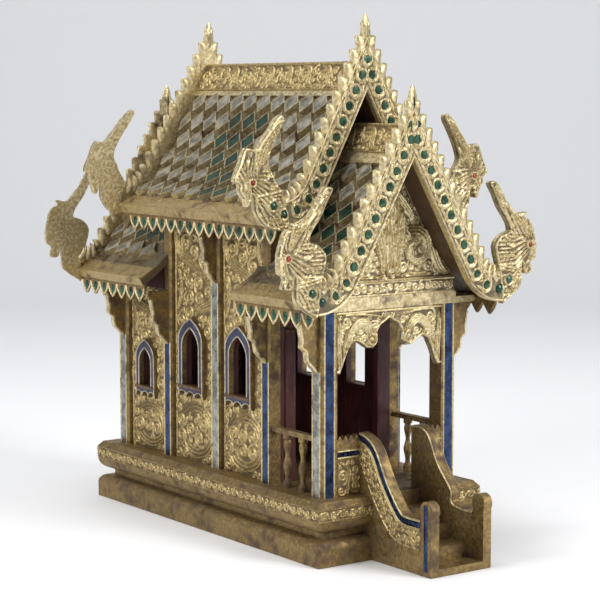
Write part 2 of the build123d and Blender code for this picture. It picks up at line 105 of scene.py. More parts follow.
def aged_gilding():
    """Gold leaf over wood: rubbed through in clouds, darkened with soot and painted shade where the relief is low,
    bright where it is high.

    The clouds times the blots, with the wear added, say how bare the wood is; the relief says how much soot and
    painted shade there is.
    """
    group, given, out = effect(
        "aged_gilding",
        [("Leaf", "Color"), ("High Leaf", "Color"), ("Wood", "Color"), ("Soot And Shade", "Color"),
         ("Wear", "Float"), ("Relief", "Float")],
        [("Color", "Color"), ("Metallic", "Float"), ("Roughness", "Float"), ("Height", "Float")])
    place = add(group, "TexCoord").outputs["Object"]
    clouds = noise(group, place, 26, 4)
    specks = noise(group, place, 310, 3)
    blots = noise(group, place, 90, 3)
    leaf = mixed(group, ranged(group, specks, 0.35, 0.7, 0, 1), given["Leaf"], given["High Leaf"])
    rubbed = add(group, "Math", {0: clouds, 1: blots}, operation="MULTIPLY").outputs[0]
    worn = add(group, "Math", {0: rubbed, 1: given["Wear"]}, operation="ADD").outputs[0]
    bare = ranged(group, worn, 0.42, 0.62, 0, 1)
    surface = mixed(group, bare, leaf, given["Wood"])
    # painted shade: low relief is mixed towards the dark brown and loses its metal, standing in for the shade in the
    # grooves as well as soot
    deep = add(group, "Math", {0: given["Relief"], 1: ranged(group, blots, 0.3, 0.7, -0.16, 0.16)},
               operation="ADD").outputs[0]
    soot_and_shade_mask = ranged(group, deep, -0.05, 0.42, 0.86, 0)
    color = mixed(group, soot_and_shade_mask, surface, given["Soot And Shade"])
    group.links.new(color, out["Color"])
    matt = add(group, "Math", {0: bare, 1: soot_and_shade_mask}, operation="MAXIMUM").outputs[0]
    group.links.new(ranged(group, matt, 0, 1, 0.86, 0.1), out["Metallic"])
    shine = ranged(group, specks, 0.3, 0.7, 0.38, 0.56)
    group.links.new(add(group, "Math", {0: matt, 1: 0.25, 2: shine}, operation="MULTIPLY_ADD").outputs[0],
                    out["Roughness"])
    group.links.new(add(group, "Math", {0: specks, 1: clouds}, operation="ADD").outputs[0], out["Height"])
    return group


GILDING = aged_gilding()


def gilt_material(name, leaf, high_leaf, soot_and_shade, wear, carved, bump=0.25):
    """Gilded wood; on carved pieces the soot and the painted shade follow their relief attribute."""
    material, tree, shader = new_material(name)
    group = tree.nodes.new("ShaderNodeGroup")
    group.node_tree = GILDING
    for label, value in (("Leaf", leaf), ("High Leaf", high_leaf), ("Wood", BARE_WOOD),
                         ("Soot And Shade", soot_and_shade), ("Wear", wear)):
        group.inputs[label].default_value = value
    group.inputs["Relief"].default_value = 1.0
    if carved:
        relief = add(tree, "Attribute", attribute_name="relief")
        tree.links.new(relief.outputs["Fac"], group.inputs["Relief"])
    for given, taken in (("Color", "Base Color"), ("Metallic", "Metallic"), ("Roughness", "Roughness")):
        tree.links.new(group.outputs[given], shader.inputs[taken])
    dents = add(tree, "Bump", {"Strength": bump, "Distance": 0.0008, "Height": group.outputs["Height"]})
    tree.links.new(dents.outputs[0], shader.inputs["Normal"])
    return material


carved_gilt = gilt_material("carved_gilt", GOLD, PALE_GOLD, SOOT_AND_SHADE, 0.08, True, 0.4)
wall_gilt = gilt_material("wall_gilt", OLD_GOLD, (0.56, 0.45, 0.23, 1), BROWN_SOOT_AND_SHADE, 0.12, True, 0.3)
plain_gilt = gilt_material("plain_gilt", GOLD, PALE_GOLD, SOOT_AND_SHADE, 0.17, False, 0.4)
old_gilt = gilt_material("old_gilt", OLD_GOLD, GOLD, SOOT_AND_SHADE, 0.2, False, 0.4)
brown_gilt = gilt_material("brown_gilt", (0.22, 0.15, 0.06, 1), OLD_GOLD, SOOT_AND_SHADE, 0.24, False, 0.5)


def finish(material, *names):
    """A CAD node keeps its shape and takes a material."""
    for name in names:
        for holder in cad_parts[name].material_slots:
            holder.material = material


def make_piece(name, points, faces, material, flip=False, relief=None, stands_for=(), crease=50):
    """A mesh from points in mm and arrays of faces, turned over if `flip`; it rides on the root body."""
    faces = [part[:, ::-1] for part in faces] if flip else faces
    mesh = bpy.data.meshes.new(name)
    mesh.vertices.add(len(points))
    mesh.vertices.foreach_set("co", (np.asarray(points) * MM).astype(np.float32).ravel())
    corners = np.concatenate([part.ravel() for part in faces])
    sizes = np.concatenate([np.full(len(part), part.shape[1]) for part in faces])
    mesh.loops.add(len(corners))
    mesh.loops.foreach_set("vertex_index", corners.astype(np.int32))
    mesh.polygons.add(len(sizes))
    mesh.polygons.foreach_set("loop_start", (np.cumsum(sizes) - sizes).astype(np.int32))
    mesh.update(calc_edges=True)
    mesh.polygons.foreach_set("use_smooth", np.ones(len(sizes), bool))
    mesh.set_sharp_from_angle(angle=math.radians(crease))
    if relief is not None:
        depth = mesh.attributes.new("relief", "FLOAT", "POINT")
        depth.data.foreach_set("value", np.asarray(relief, np.float32))
    piece = bpy.data.objects.new(name, mesh)
    bpy.context.scene.collection.objects.link(piece)
    mesh.materials.append(material)
    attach(piece, "root")
    if stands_for:
        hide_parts(*stands_for)
    return piece


def inside(points, loops):
    """True for a point that an odd number of outline edges passes to the right of."""
    x, z = points[:, :1], points[:, 1:]
    hits = np.zeros(len(points), int)
    for loop in loops:
        a, b = loop, np.roll(loop, -1, 0)
        spans = (a[:, 1] > z) != (b[:, 1] > z)
        rise = np.where(b[:, 1] == a[:, 1], 1e-9, b[:, 1] - a[:, 1])
        hits += (spans & (x < a[:, 0] + (z - a[:, 1]) * (b[:, 0] - a[:, 0]) / rise)).sum(1)
    return hits % 2 == 1


def nearest(points, starts, ends):
    """For each point: the nearest place on a set of segments, its distance, and how far along the set it is."""
    run = ends - starts
    long = np.maximum((run ** 2).sum(1), 1e-12)
    along = ((points[:, None, :] - starts) * run).sum(2) / long
    along = np.clip(along, 0, 1)
    places = starts + along[:, :, None] * run
    gaps = ((points[:, None, :] - places) ** 2).sum(2)
    best = gaps.argmin(1)
    row = np.arange(len(points))
    return places[row, best], np.sqrt(gaps[row, best]), (best + along[row, best]) / len(starts)


def edge_gap(points, loops):
    """Distance from each point to the nearest outline."""
    starts = np.concatenate(loops)
    ends = np.concatenate([np.roll(loop, -1, 0) for loop in loops])
    return nearest(points, starts, ends)[1]


def beads(points, strokes):
    """Height of carved ridges: rise * sqrt(1 - (gap / width)^2) over each stroke, and the highest one wins.

    A stroke is (line, width, rise, taper); with a taper of 1 its ends come to points.
    """
    height = np.zeros(len(points))
    for line, width, rise, taper in strokes:
        low, high = line.min(0) - width, line.max(0) + width
        near = np.flatnonzero(((points > low) & (points < high)).all(1))
        if len(near) == 0:
            continue
        _, gap, along = nearest(points[near], line[:-1], line[1:])
        wide = width * (1 - taper * np.abs(2 * along - 1) ** 3 * 0.75)
        ridge = rise * np.sqrt(np.clip(1 - (gap / wide) ** 2, 0, 1))
        height[near] = np.maximum(height[near], ridge)
    return height


def curl(centre, radius, start, turns, hand):
    """A spiral line that winds in from its rim to a fifth of its radius."""
    t = np.linspace(0, 1, int(13 * turns) + 2)
    reach = radius * (1 - 0.8 * t)
    turn = start + hand * 2 * math.pi * turns * t
    return np.stack([centre[0] + reach * np.cos(turn), centre[1] + reach * np.sin(turn)], 1)


def stem(p0, p1, p2, p3, count=22):
    """A Bezier line through four control points."""
    t = np.linspace(0, 1, count)[:, None]
    p0, p1, p2, p3 = (np.array(p, float) for p in (p0, p1, p2, p3))
    return p0 * (1 - t) ** 3 + 3 * p1 * t * (1 - t) ** 2 + 3 * p2 * t ** 2 * (1 - t) + p3 * t ** 3


def square_to(line):
    """A unit step to the right of a line, at each of its points."""
    way = np.gradient(line, axis=0)
    return np.stack([way[:, 1], -way[:, 0]], 1) / np.linalg.norm(way, axis=1)[:, None]


def ribbon(line, count, spacing, width, rise):
    """Parallel ridges along a line that close up at both its ends."""
    swell = np.sin(np.linspace(0.06, 0.94, len(line)) * math.pi)[:, None] ** 0.6
    steps = (np.arange(count) - (count - 1) / 2) * spacing
    return [(line - square_to(line) * swell * step, width, rise, 1) for step in steps]


def curl_field(loops, stems, radius, seed, margin=0.8):
    """Curls on a staggered lattice, large then small, wherever they clear the outline and the stems.

    Each is a spiral ridge nearly as wide as its pitch, so only a thin groove is left between its turns.
    """
    random = np.random.default_rng(seed)
    every = np.concatenate(loops)
    low, high = every.min(0), every.max(0)
    lines = [line for line, _, _, _ in stems]
    starts = np.concatenate([line[:-1] for line in lines] + list(loops))
    ends = np.concatenate([line[1:] for line in lines] + [np.roll(loop, -1, 0) for loop in loops])
    strokes, taken = [], np.zeros((0, 3))
    for size in (radius, radius * 0.66, radius * 0.42):
        rows = np.arange(low[1] + size, high[1] - size * 0.5, size * 1.05)
        lattice = []
        for i, row in enumerate(rows):
            columns = np.arange(low[0] + size * (1 + i % 2), high[0] - size * 0.5, size * 1.1)
            lattice.append(np.stack([columns, np.full(len(columns), row)], 1))
        lattice = np.concatenate(lattice)
        lattice = lattice[inside(lattice, loops)]
        if len(lattice) == 0:
            continue
        lattice = lattice[nearest(lattice, starts, ends)[1] > size + margin]
        for centre in lattice:
            gaps = np.hypot(*(taken[:, :2] - centre).T) - taken[:, 2]
            if len(taken) and gaps.min() < size * 0.98:
                continue
            taken = np.vstack([taken, [*centre, size]])
            hand = 1 if len(taken) % 2 else -1
            start, turns = random.uniform(0, 6.28), 1.0 + size * 0.065
            line = curl(centre, size, start, turns, hand)
            away = np.array([math.sin(start), -math.cos(start)]) * hand
            tail = stem(line[0], line[0] + away * size * 0.5, line[0] + away * size * 1.0,
                        line[0] + away * size * 1.25 - (line[0] - centre) * 0.35, 6)
            line = np.concatenate([tail[::-1], line[1:]])
            strokes.append((line, 0.37 * size / turns, 0.9 + size * 0.14, 0))
    return strokes


def cut_grid(loops, pitch):
    """Square cells whose middles lie inside the outlines, with the rim drawn onto them.

    Returns the points, the cells as quads, and the rim as directed edges.
    """
    every = np.concatenate(loops)
    low, high = every.min(0), every.max(0)
    steps = np.maximum(np.ceil((high - low) / pitch).astype(int), 2)
    u = np.linspace(low[0], high[0], steps[0] + 1)
    v = np.linspace(low[1], high[1], steps[1] + 1)
    grid = np.stack(np.meshgrid(u, v, indexing="ij"), -1)
    middles = (grid[:-1, :-1] + grid[1:, 1:]) / 2
    kept = inside(middles.reshape(-1, 2), loops).reshape(steps)
    ids = np.arange((steps[0] + 1) * (steps[1] + 1)).reshape(steps + 1)
    a, b, c, d = ids[:-1, :-1], ids[1:, :-1], ids[1:, 1:], ids[:-1, 1:]
    quads = np.stack([a, b, c, d], -1)[kept]
    padded = np.pad(kept, 1)
    rim = []
    for di, dj, p, q in ((-1, 0, d, a), (1, 0, b, c), (0, -1, a, b), (0, 1, c, d)):
        beyond = padded[1 + di:1 + di + steps[0], 1 + dj:1 + dj + steps[1]]
        bare = kept & ~beyond
        rim.append(np.stack([p[bare], q[bare]], -1))
    rim = np.concatenate(rim)
    used = np.unique(quads)
    renumber = np.zeros(ids.size, int)
    renumber[used] = np.arange(len(used))
    quads, rim = renumber[quads], renumber[rim]
    points = grid.reshape(-1, 2)[used]
    ends = np.concatenate([np.roll(loop, -1, 0) for loop in loops])
    edge = np.unique(rim)
    points[edge] = nearest(points[edge], every, ends)[0]
    return points, quads, rim


SKIRT = 0.4  # carved skins are let this far into the boards behind them
PROUD = 0.15  # and their ground stands this far out
BROW = 9.0  # a swelling face has its full height this far in from its outline


def plane(axis, level, out):
    """Two things about an upright face square to `axis`, from which h stands out along `out`.

    They are where (u, v, h) lies in x, y, z, and whether its faces have to be turned over.
    """
    def place(u, v, h):
        depth = level + out * h
        return np.stack([depth, u, v] if axis == "x" else [u, depth, v], 1)
    return place, (out < 0) == (axis == "x")


def carve(name, loops, pitch, height, place, flip, material, depth=SKIRT, backed=False, full=1.6, swell=0.0,
          **more):
    """A board cut to its outlines and carved: `height` gives the relief over the face at each point.

    `place` puts (u, v, h) into x, y, z. The rim drops by `depth` to the back, which is closed if `backed`. The
    face itself can swell: h = swell * sqrt(gap to the outline / BROW). Relief of `full` mm has no soot and no painted
    shade left; lower relief takes both.
    """
    loops = [np.asarray(loop, float) for loop in loops]
    points, quads, rim = cut_grid(loops, pitch)
    lift = height(points)
    count = len(points)
    body = swell * np.sqrt(np.clip(edge_gap(points, loops) / BROW, 0, 1)) if swell else 0.0
    face = place(points[:, 0], points[:, 1], lift + body)
    back = place(points[:, 0], points[:, 1], np.full(count, -depth))
    shade = np.concatenate([np.clip(lift / full, 0, 1), np.full(count, 0.7)])
    sides = np.stack([rim[:, 1], rim[:, 0], rim[:, 0] + count, rim[:, 1] + count], -1)
    parts = [quads, sides, quads[:, ::-1] + count] if backed else [quads, sides]
    return make_piece(name, np.concatenate([face, back]), parts, material, flip, relief=shade, **more)


def rounded(line, count=6):
    """A closed outline through its points, as a smooth Catmull-Rom curve."""
    p = np.asarray(line, float)
    before, after, later = np.roll(p, 1, 0), np.roll(p, -1, 0), np.roll(p, -2, 0)
    t = np.linspace(0, 1, count, endpoint=False)[:, None, None]
    curve = 0.5 * (2 * p + (after - before) * t + (2 * before - 5 * p + 4 * after - later) * t ** 2
                   + (3 * p - before - 3 * after + later) * t ** 3)
    return curve.transpose(1, 0, 2).reshape(-1, 2)


def rectangle(u0, u1, v0, v1):
    """An outline, anticlockwise."""
    return np.array([(u0, v0), (u1, v0), (u1, v1), (u0, v1)], float)


def box_mm(name):
    """A CAD node's lowest and highest corners in mm."""
    low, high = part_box(name)
    return np.array(low) / MM, np.array(high) / MM


finish(brown_gilt, "base_slab", "base_neck", "base_cornice")
cornice_high = box_mm("base_cornice")[1]
BAND_FOOT, BAND_TOP = 47.6, 61.6  # the fascia's carved band, over the ground
SCROLL_PITCH = 12.5


def running_scroll(points):
    """A wavy stem with a curl in every bend, between two beads."""
    u, v = points[:, 0], points[:, 1]
    middle = (BAND_FOOT + BAND_TOP) / 2
    bends = np.arange(u.min() + SCROLL_PITCH / 2, u.max(), SCROLL_PITCH)
    strokes = []
    for i, bend in enumerate(bends):
        hand = 1 if i % 2 else -1
        strokes.append((curl((bend, middle), 4.6, -hand * 1.57, 1.25, hand), 0.95, 1.4, 0))
        sweep = stem((bend - 8, middle + hand * 4.4), (bend - 6, middle - hand * 5), (bend + 3, middle - hand * 6.5),
                     (bend + 8, middle + hand * 3.5), 12)
        strokes.append((sweep, 0.95, 1.3, 1))
    lift = beads(points, strokes)
    rims = np.minimum(np.abs(v - BAND_FOOT - 0.8), np.abs(BAND_TOP - 0.8 - v))
    return np.maximum(lift, 1.2 * np.sqrt(np.clip(1 - (rims / 0.8) ** 2, 0, 1)))


plinth_x, plinth_y = cornice_high[0], cornice_high[1]
stair_low, stair_high = box_mm("stair_parapet_right")
notch = stair_high[0]
plinth_sides = {
    "left": (-plinth_y, plinth_y, plane("x", -plinth_x - PROUD, -1)),
    "right": (-plinth_y, plinth_y, plane("x", plinth_x + PROUD, 1)),
    "rear": (-plinth_x, plinth_x, plane("y", plinth_y + PROUD, 1)),
    "front_left": (-plinth_x, -notch, plane("y", -plinth_y - PROUD, -1)),
    "front_right": (notch, plinth_x, plane("y", -plinth_y - PROUD, -1)),
}
for side, (start, end, face) in plinth_sides.items():
    band = rectangle(start, end, BAND_FOOT, BAND_TOP)
    carve(f"plinth_scroll_{side}", [band], 0.9, running_scroll, *face, wall_gilt)


# ---------------------------------------------------------------- stair
# A solid flight between two swan-necked parapets. The parapets' outer faces carry a carved band under
# a strip of blue mirror that is puttied in along their top edge; everything else is plain gilt.
def mirror_material(name, dark, light, rough, metallic=0.85):
    """Old mirror glass: clouded, with brown blotches where the silver has gone."""
    material, tree, shader = new_material(name)
    place = add(tree, "TexCoord").outputs["Object"]
    clouds = noise(tree, place, 75, 4, 0.65)
    pits = noise(tree, place, 420, 2)
    glass = mixed(tree, ranged(tree, clouds, 0.34, 0.66, 0, 1), dark, light)
    gone = ranged(tree, pits, 0.6, 0.72, 0, 0.75)
    tree.links.new(mixed(tree, gone, glass, (0.05, 0.035, 0.02, 1)), shader.inputs["Base Color"])
    tree.links.new(ranged(tree, gone, 0, 1, metallic, 0.1), shader.inputs["Metallic"])
    tree.links.new(ranged(tree, clouds, 0.3, 0.7, rough, rough + 0.22), shader.inputs["Roughness"])
    waves = add(tree, "Bump", {"Strength": 0.18, "Distance": 0.0006, "Height": clouds})
    tree.links.new(waves.outputs[0], shader.inputs["Normal"])
    return material


blue_mirror = mirror_material("blue_mirror", (0.010, 0.016, 0.055, 1), (0.04, 0.075, 0.17, 1), 0.16)
finish(brown_gilt, "stair_flight", "stair_parapet_left", "stair_parapet_right")


def walked(line, spacing=2.0):
    """A line's points at an even spacing."""
    steps = np.concatenate([[0], np.cumsum(np.hypot(*np.diff(line, axis=0).T))])
    evenly = np.linspace(0, steps[-1], max(int(steps[-1] / spacing), 2) + 1)
    return np.stack([np.interp(evenly, steps, line[:, 0]), np.interp(evenly, steps, line[:, 1])], 1)


def shifted(line, gap):
    """A line moved square to itself, to its right for a positive gap."""
    return line + gap * square_to(line)


def loft(rows, columns, closed=False):
    """Quads between the rows of a grid of points; a closed one joins its last column to its first."""
    ids = np.arange(rows * columns).reshape(rows, columns)
    if closed:
        ids = np.concatenate([ids, ids[:, :1]], 1)
    return np.stack([ids[:-1, :-1], ids[:-1, 1:], ids[1:, 1:], ids[1:, :-1]], -1).reshape(-1, 4)


def carried_strip(name, line, across, lift, place, flip, material, crease):
    """A strip of one section carried along a line: `across` is how far each of its points lies aside."""
    flat = line[:, None, :] + square_to(line)[:, None, :] * across[None, :, None]
    lift = np.broadcast_to(lift, flat.shape[:2])
    points = place(flat[..., 0].ravel(), flat[..., 1].ravel(), lift.ravel())
    return make_piece(name, points, [loft(*lift.shape)[:, [1, 2, 3, 0]]], material, flip, crease=crease)


def swept_strip(name, line, half, rise, place, flip, material=plain_gilt):
    """A strip of a lens-shaped section: h = rise * sqrt(1 - v^2) for v from -1 to 1 across it."""
    v = np.linspace(-1, 1, 7)
    lift = rise * np.sqrt(1 - v ** 2 * 0.98) - SKIRT / 4
    return carried_strip(name, line, v * half, lift, place, flip, material, 180)


def flat_strip(name, line, half, rise, place, flip, material):
    """A flat strip with bevelled edges."""
    across = np.array([-1, -0.88, 0.88, 1]) * half
    return carried_strip(name, line, across, np.array([-SKIRT, rise, rise, -SKIRT]), place, flip, material, 25)


stair_front = stair_low[1]
NEWEL = 17.0  # how deep a parapet's newel is
deck = cornice_high[2]


def coping_line(name, face):
    """The top edge of a parapet's face, from the stair's head down to the back of its newel."""
    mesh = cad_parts[name].data
    corners = np.empty(3 * len(mesh.vertices))
    mesh.vertices.foreach_get("co", corners)
    corners = corners.reshape(-1, 3) / MM
    on_face = np.abs(corners[:, 0] - face) < 0.05
    behind_knob = corners[:, 1] > stair_front + NEWEL + 6
    edge = np.unique(corners[on_face & behind_knob & (corners[:, 2] > 50), 1:].round(2), axis=0)
    edge = edge[np.argsort(-edge.sum(1))]
    return np.concatenate([edge, [(stair_front + NEWEL + 1.4, edge[-1, 1])]])


newel_middle = stair_front + NEWEL * 0.58
newel = np.array([(newel_middle, 74), (newel_middle, 5)])
for side, sign in (("left", -1), ("right", 1)):
    low, high = box_mm(f"stair_parapet_{side}")
    outer_x, inner_x = (low[0], high[0]) if sign < 0 else (high[0], low[0])
    outer, inner = plane("x", outer_x + sign * PROUD, sign), plane("x", inner_x - sign * PROUD, -sign)
    top = walked(coping_line(f"stair_parapet_{side}", outer_x))
    lip = shifted(top, -1.6)
    name = f"parapet_{side}_outer"
    swept_strip(f"{name}_lip", lip, 1.3, 1.3, *outer)
    swept_strip(f"{name}_mirror", shifted(top, -6.2), 3.1, 0.5, *outer, blue_mirror)
    swept_strip(f"{name}_bead", shifted(top, -10.0), 0.7, 1.0, *outer)
    swept_strip(f"{name}_newel_mirror", newel, 3.0, 0.5, *outer, blue_mirror)
    band = np.concatenate([walked(shifted(top, -10.5), 4), walked(shifted(top, -33.0), 4)[::-1]])
    band[:, 1] = np.maximum(band[:, 1], 3)
    waves = shifted(top, -21.5)
    waves[:, 1] += 5.0 * np.sin(np.arange(len(waves)) * 0.36)
    stems = [(shifted(top, -12.2), 0.9, 1.3, 0), (shifted(top, -32.0), 0.9, 1.3, 0), (waves, 1.0, 1.5, 0)]
    stems += curl_field([band], stems, 6.2, 11, -0.4)
    carve(f"{name}_band", [band], 0.9, lambda p: beads(p, stems), *outer, wall_gilt)
    swept_strip(f"parapet_{side}_inner_lip", lip, 1.3, 1.3, *inner)


# ---------------------------------------------------------------- posts
# Square posts with a strip of mirror set into each outer face between two gilt beads. The strips are
# silver or blue by turns; over the lower roofs the posts are only painted.
def painted_material(name, dark, light, chipped):
    """Thin lacquer over wood, streaked down the grain and chipped to the wood."""
    material, tree, shader = new_material(name)
    place = add(tree, "TexCoord").outputs["Object"]
    grain = add(tree, "Mapping", {"Vector": place, "Scale": (1.0, 1.0, 0.12)}).outputs[0]
    streaks = noise(tree, grain, 240, 4, 0.6)
    clouds = noise(tree, place, 32, 3)
    paint = mixed(tree, ranged(tree, streaks, 0.3, 0.7, 0, 1), dark, light)
    chips = add(tree, "Math", {0: streaks, 1: clouds}, operation="MULTIPLY").outputs[0]
    surface = mixed(tree, ranged(tree, chips, 0.34, 0.4, 0, chipped), paint, (0.16, 0.095, 0.045, 1))
    tree.links.new(surface, shader.inputs["Base Color"])
    tree.links.new(ranged(tree, clouds, 0.3, 0.7, 0.42, 0.68), shader.inputs["Roughness"])
    dents = add(tree, "Bump", {"Strength": 0.3, "Distance": 0.0006, "Height": streaks})
    tree.links.new(dents.outputs[0], shader.inputs["Normal"])
    return material


red_lacquer = painted_material("red_lacquer", (0.035, 0.006, 0.006, 1), (0.075, 0.013, 0.012, 1), 0.4)
brown_wood = painted_material("brown_wood", (0.05, 0.026, 0.011, 1), (0.14, 0.078, 0.033, 1), 0.5)
silver_mirror = mirror_material("silver_mirror", (0.13, 0.14, 0.12, 1), (0.40, 0.42, 0.38, 1), 0.2)
finish(brown_gilt, "posts_left", "posts_right")
CORNER, MIDDLE = 20.0, 15.0  # widths of the corner posts and of those between
LOW_DROP, HIGH_DROP = 62, 65  # from the plates down to the tops of the mirror strips
STRIP = 5.5  # half the width of a mirror strip
post_low, post_high = box_mm("posts_right")
post_face = post_high[0]
rear_bay_front = box_mm("gable_wall_rear")[1][1]
room_front = box_mm("gable_wall_front")[0][1]
wall_low, wall_high = box_mm("wall_panels_right")
low_plate = box_mm("front_beam")[0][2]
high_plate = post_high[2]
posts = {
    "rear": (post_high[1] - CORNER / 2, low_plate - LOW_DROP, silver_mirror),
    "second": (rear_bay_front - MIDDLE / 2, low_plate - LOW_DROP, blue_mirror),
    "third": ((wall_low[1] + wall_high[1]) / 2 - 50.75, high_plate - HIGH_DROP, silver_mirror),
    "fourth": (room_front + MIDDLE / 2, low_plate - LOW_DROP, blue_mirror),
    "front": (post_low[1] + CORNER / 2, low_plate - LOW_DROP, silver_mirror),
}


def strip_and_beads(name, line, place, flip, glass, half=STRIP):
    """A mirror strip between two gilt beads."""
    flat_strip(f"{name}_mirror", line, half, 0.35, place, flip, glass)
    for edge, gap in (("a", -half - 0.9), ("b", half + 0.9)):
        swept_strip(f"{name}_bead_{edge}", shifted(line, gap), 1.0, 1.1, place, flip)


for side, sign in (("left", -1), ("right", 1)):
    for label, (middle, top, glass) in posts.items():
        line = walked(np.array([(middle, top), (middle, deck + 0.2)]), 24)
        strip_and_beads(f"post_{label}_{side}", line, *plane("x", sign * post_face, sign), glass)
    middle = sign * (post_face - CORNER / 2)
    line = walked(np.array([(middle, low_plate), (middle, deck)]), 24)
    strip_and_beads(f"post_face_{side}", line, *plane("y", post_low[1], -1), blue_mirror)


# ---------------------------------------------------------------- walls
# Thin boards between the posts, lacquered red inside. Outside, each is pressed with great leaf scrolls over
# its window, a round cartouche under it, and small curls wherever there is room, all gilded.
finish(red_lacquer, "wall_panels_left", "wall_panels_right", "eave_plates", "gable_wall_front", "gable_wall_rear",
       "front_wall_left", "front_wall_right", "front_wall_head", "rear_wall")
wall_face = wall_high[0]
bays = {  # the bay's ends and top; its window's shift from the middle, width, sill, head and tip over the deck
    "rear": (rear_bay_front, post_high[1] - CORNER, low_plate, 4.5, 26.0, 75.2, 121.2, 132.2),
    "middle": (posts["third"][0] + MIDDLE / 2, rear_bay_front - MIDDLE, high_plate, 4.0, 35.0, 87.2, 155.2, 166.7),
    "front": (room_front + MIDDLE, posts["third"][0] - MIDDLE / 2, high_plate, 6.75, 35.0, 88.2, 155.2, 167.2),
}
BORDER, APRON = 8.0, 13.0  # how far a window's frame reaches to the side of its opening, and below it


def arc(centre, radius_u, radius_v, start, end, count=14):
    """Part of an ellipse, between two angles in degrees."""
    t = np.radians(np.linspace(start, end, count))
    return np.stack([centre[0] + radius_u * np.cos(t), centre[1] + radius_v * np.sin(t)], 1)


def window_outline(middle, half, foot, spring, tip):
    """A pointed arch: upright sides, then two curves that lean in to the tip."""
    rise = tip - spring
    right = stem((middle + half, spring), (middle + half, spring + rise * 0.45),
                 (middle + half * 0.45, tip - rise * 0.2), (middle, tip), 10)
    left = right[::-1] * (-1, 1) + (2 * middle, 0)
    return np.concatenate([[(middle - half, foot), (middle + half, foot)], right, left[1:]])


def bay_strokes(u0, u1, top, middle, half, sill, tip):
    """The stems of one bay: two great scrolls over the window, and a cartouche under it."""
    wide, foot, rise = u1 - u0, sill - APRON, top - tip

    def at(share_u, share_v):
        return (u1 - wide * share_u, tip + rise * share_v)

    stems = ribbon(stem(at(0.06, 0.98), at(-0.05, 0.5), at(0.5, 0.66), at(0.93, 0.34)), 4, 3.3, 1.6, 2.4)
    stems += ribbon(stem(at(0.95, 0.40), at(1.05, 0.08), at(0.7, 0.2), (middle - half * 0.15, tip + 3)),
                    4, 3.1, 1.5, 2.3)
    stems += ribbon(stem(at(0.06, 0.52), at(0.2, 0.4), at(0.16, 0.2), at(0.05, 0.06)), 2, 2.8, 1.35, 1.8)
    stems += ribbon(stem(at(0.95, 0.98), at(0.75, 0.88), at(0.8, 0.7), at(0.95, 0.54)), 2, 2.8, 1.35, 1.8)
    height = foot - deck - 5
    centre = ((u0 + u1) / 2, deck + 2 + height / 2)
    for k in range(3):
        shrink = 1 - 0.15 * k
        loop = arc((centre[0] - k * 0.8, centre[1]), wide * 0.44 * shrink, height * 0.47 * shrink, 40, 322, 30)
        stems.append((loop, 1.5, 2.2, 1))
    spine = stem((centre[0] - wide * 0.36, deck + 8), (centre[0] - wide * 0.5, centre[1] - height * 0.2),
                 (centre[0] - wide * 0.28, centre[1] + height * 0.1),
                 (centre[0] - wide * 0.38, centre[1] + height * 0.36))
    return stems + ribbon(spine, 2, 2.0, 0.9, 1.4)


carvings, windows = {}, {}
for number, (bay, (u0, u1, top, shift, width, sill, head, tip)) in enumerate(bays.items()):
    middle, half = (u0 + u1) / 2 + shift, width / 2 + BORDER
    sill, head, tip = deck + sill, deck + head, deck + tip
    windows[bay] = (middle, half, width, sill, head, tip)
    frame_outline = window_outline(middle, half - 1.5, sill - APRON + 3, head - width * 0.4, tip - 2)
    outlines = [rectangle(u0 + 0.1, u1 - 0.1, deck + 0.1, top), frame_outline]
    stems = bay_strokes(u0, u1, top, middle, half, sill, tip)
    stems += [(np.array([(u, deck), (u, top)]), 0.9, 1.3, 0) for u in (u0 + 1.2, u1 - 1.2)]
    carvings[bay] = (outlines, stems + curl_field(outlines, stems, 8.6, 20 + number, -0.6))
for side, sign in (("left", -1), ("right", 1)):
    for bay, (outlines, strokes) in carvings.items():
        carve(f"wall_carving_{bay}_{side}", outlines, 0.92, lambda p: beads(p, strokes),
              *plane("x", sign * (wall_face + 0.2), sign), wall_gilt, depth=0.5)


# ---------------------------------------------------------------- windows
# Each window has a pointed frame faced with blue mirror between two raised pale rims, a narrow sill of
# rubbed wood, and under it a blue apron with three scallops.
FRAME = 6.0  # how thick a window's frame is
rim_gilt = gilt_material("rim_gilt", (0.42, 0.36, 0.27, 1), (0.6, 0.55, 0.45, 1), SOOT_AND_SHADE, 0.12, False)
window_glass = mirror_material("window_glass", (0.045, 0.045, 0.08, 1), (0.1, 0.108, 0.17, 1), 0.3)
finish(brown_gilt, "window_frames_left", "window_frames_right")
for side, sign in (("left", -1), ("right", 1)):
    face = plane("x", sign * (wall_face + FRAME), sign)
    for bay, (middle, half, width, sill, head, tip) in windows.items():
        foot = sill - APRON
        scallops = [arc((middle - half + (2 * i + 1) * half / 3, foot), half / 3, APRON * 0.5, 180, 0, 9)
                    for i in range(3)]
        outer = window_outline(middle, half, foot, head - width * 0.4, tip)
        outer = np.concatenate([*scallops, outer[1:-1]])
        opening = window_outline(middle, width / 2, sill, head - width * 0.62, head)
        name = f"window_{bay}_{side}"
        carve(f"{name}_glass", [outer, opening], 0.9, lambda p: np.full(len(p), 0.3), *face, window_glass)
        for label, loop, inward in (("outer", outer, 0.8), ("inner", opening, -0.7)):
            rim_line = walked(np.concatenate([loop, loop[:2]]), 2.2)
            swept_strip(f"{name}_{label}_rim", shifted(rim_line, -inward), 0.85, 1.3, *face, rim_gilt)
        sill_line = np.array([(middle - half + 1, sill - 1.2), (middle + half - 1, sill - 1.2)])
        flat_strip(f"{name}_sill", walked(sill_line, 6), 1.9, 2.2, *face, brown_wood)


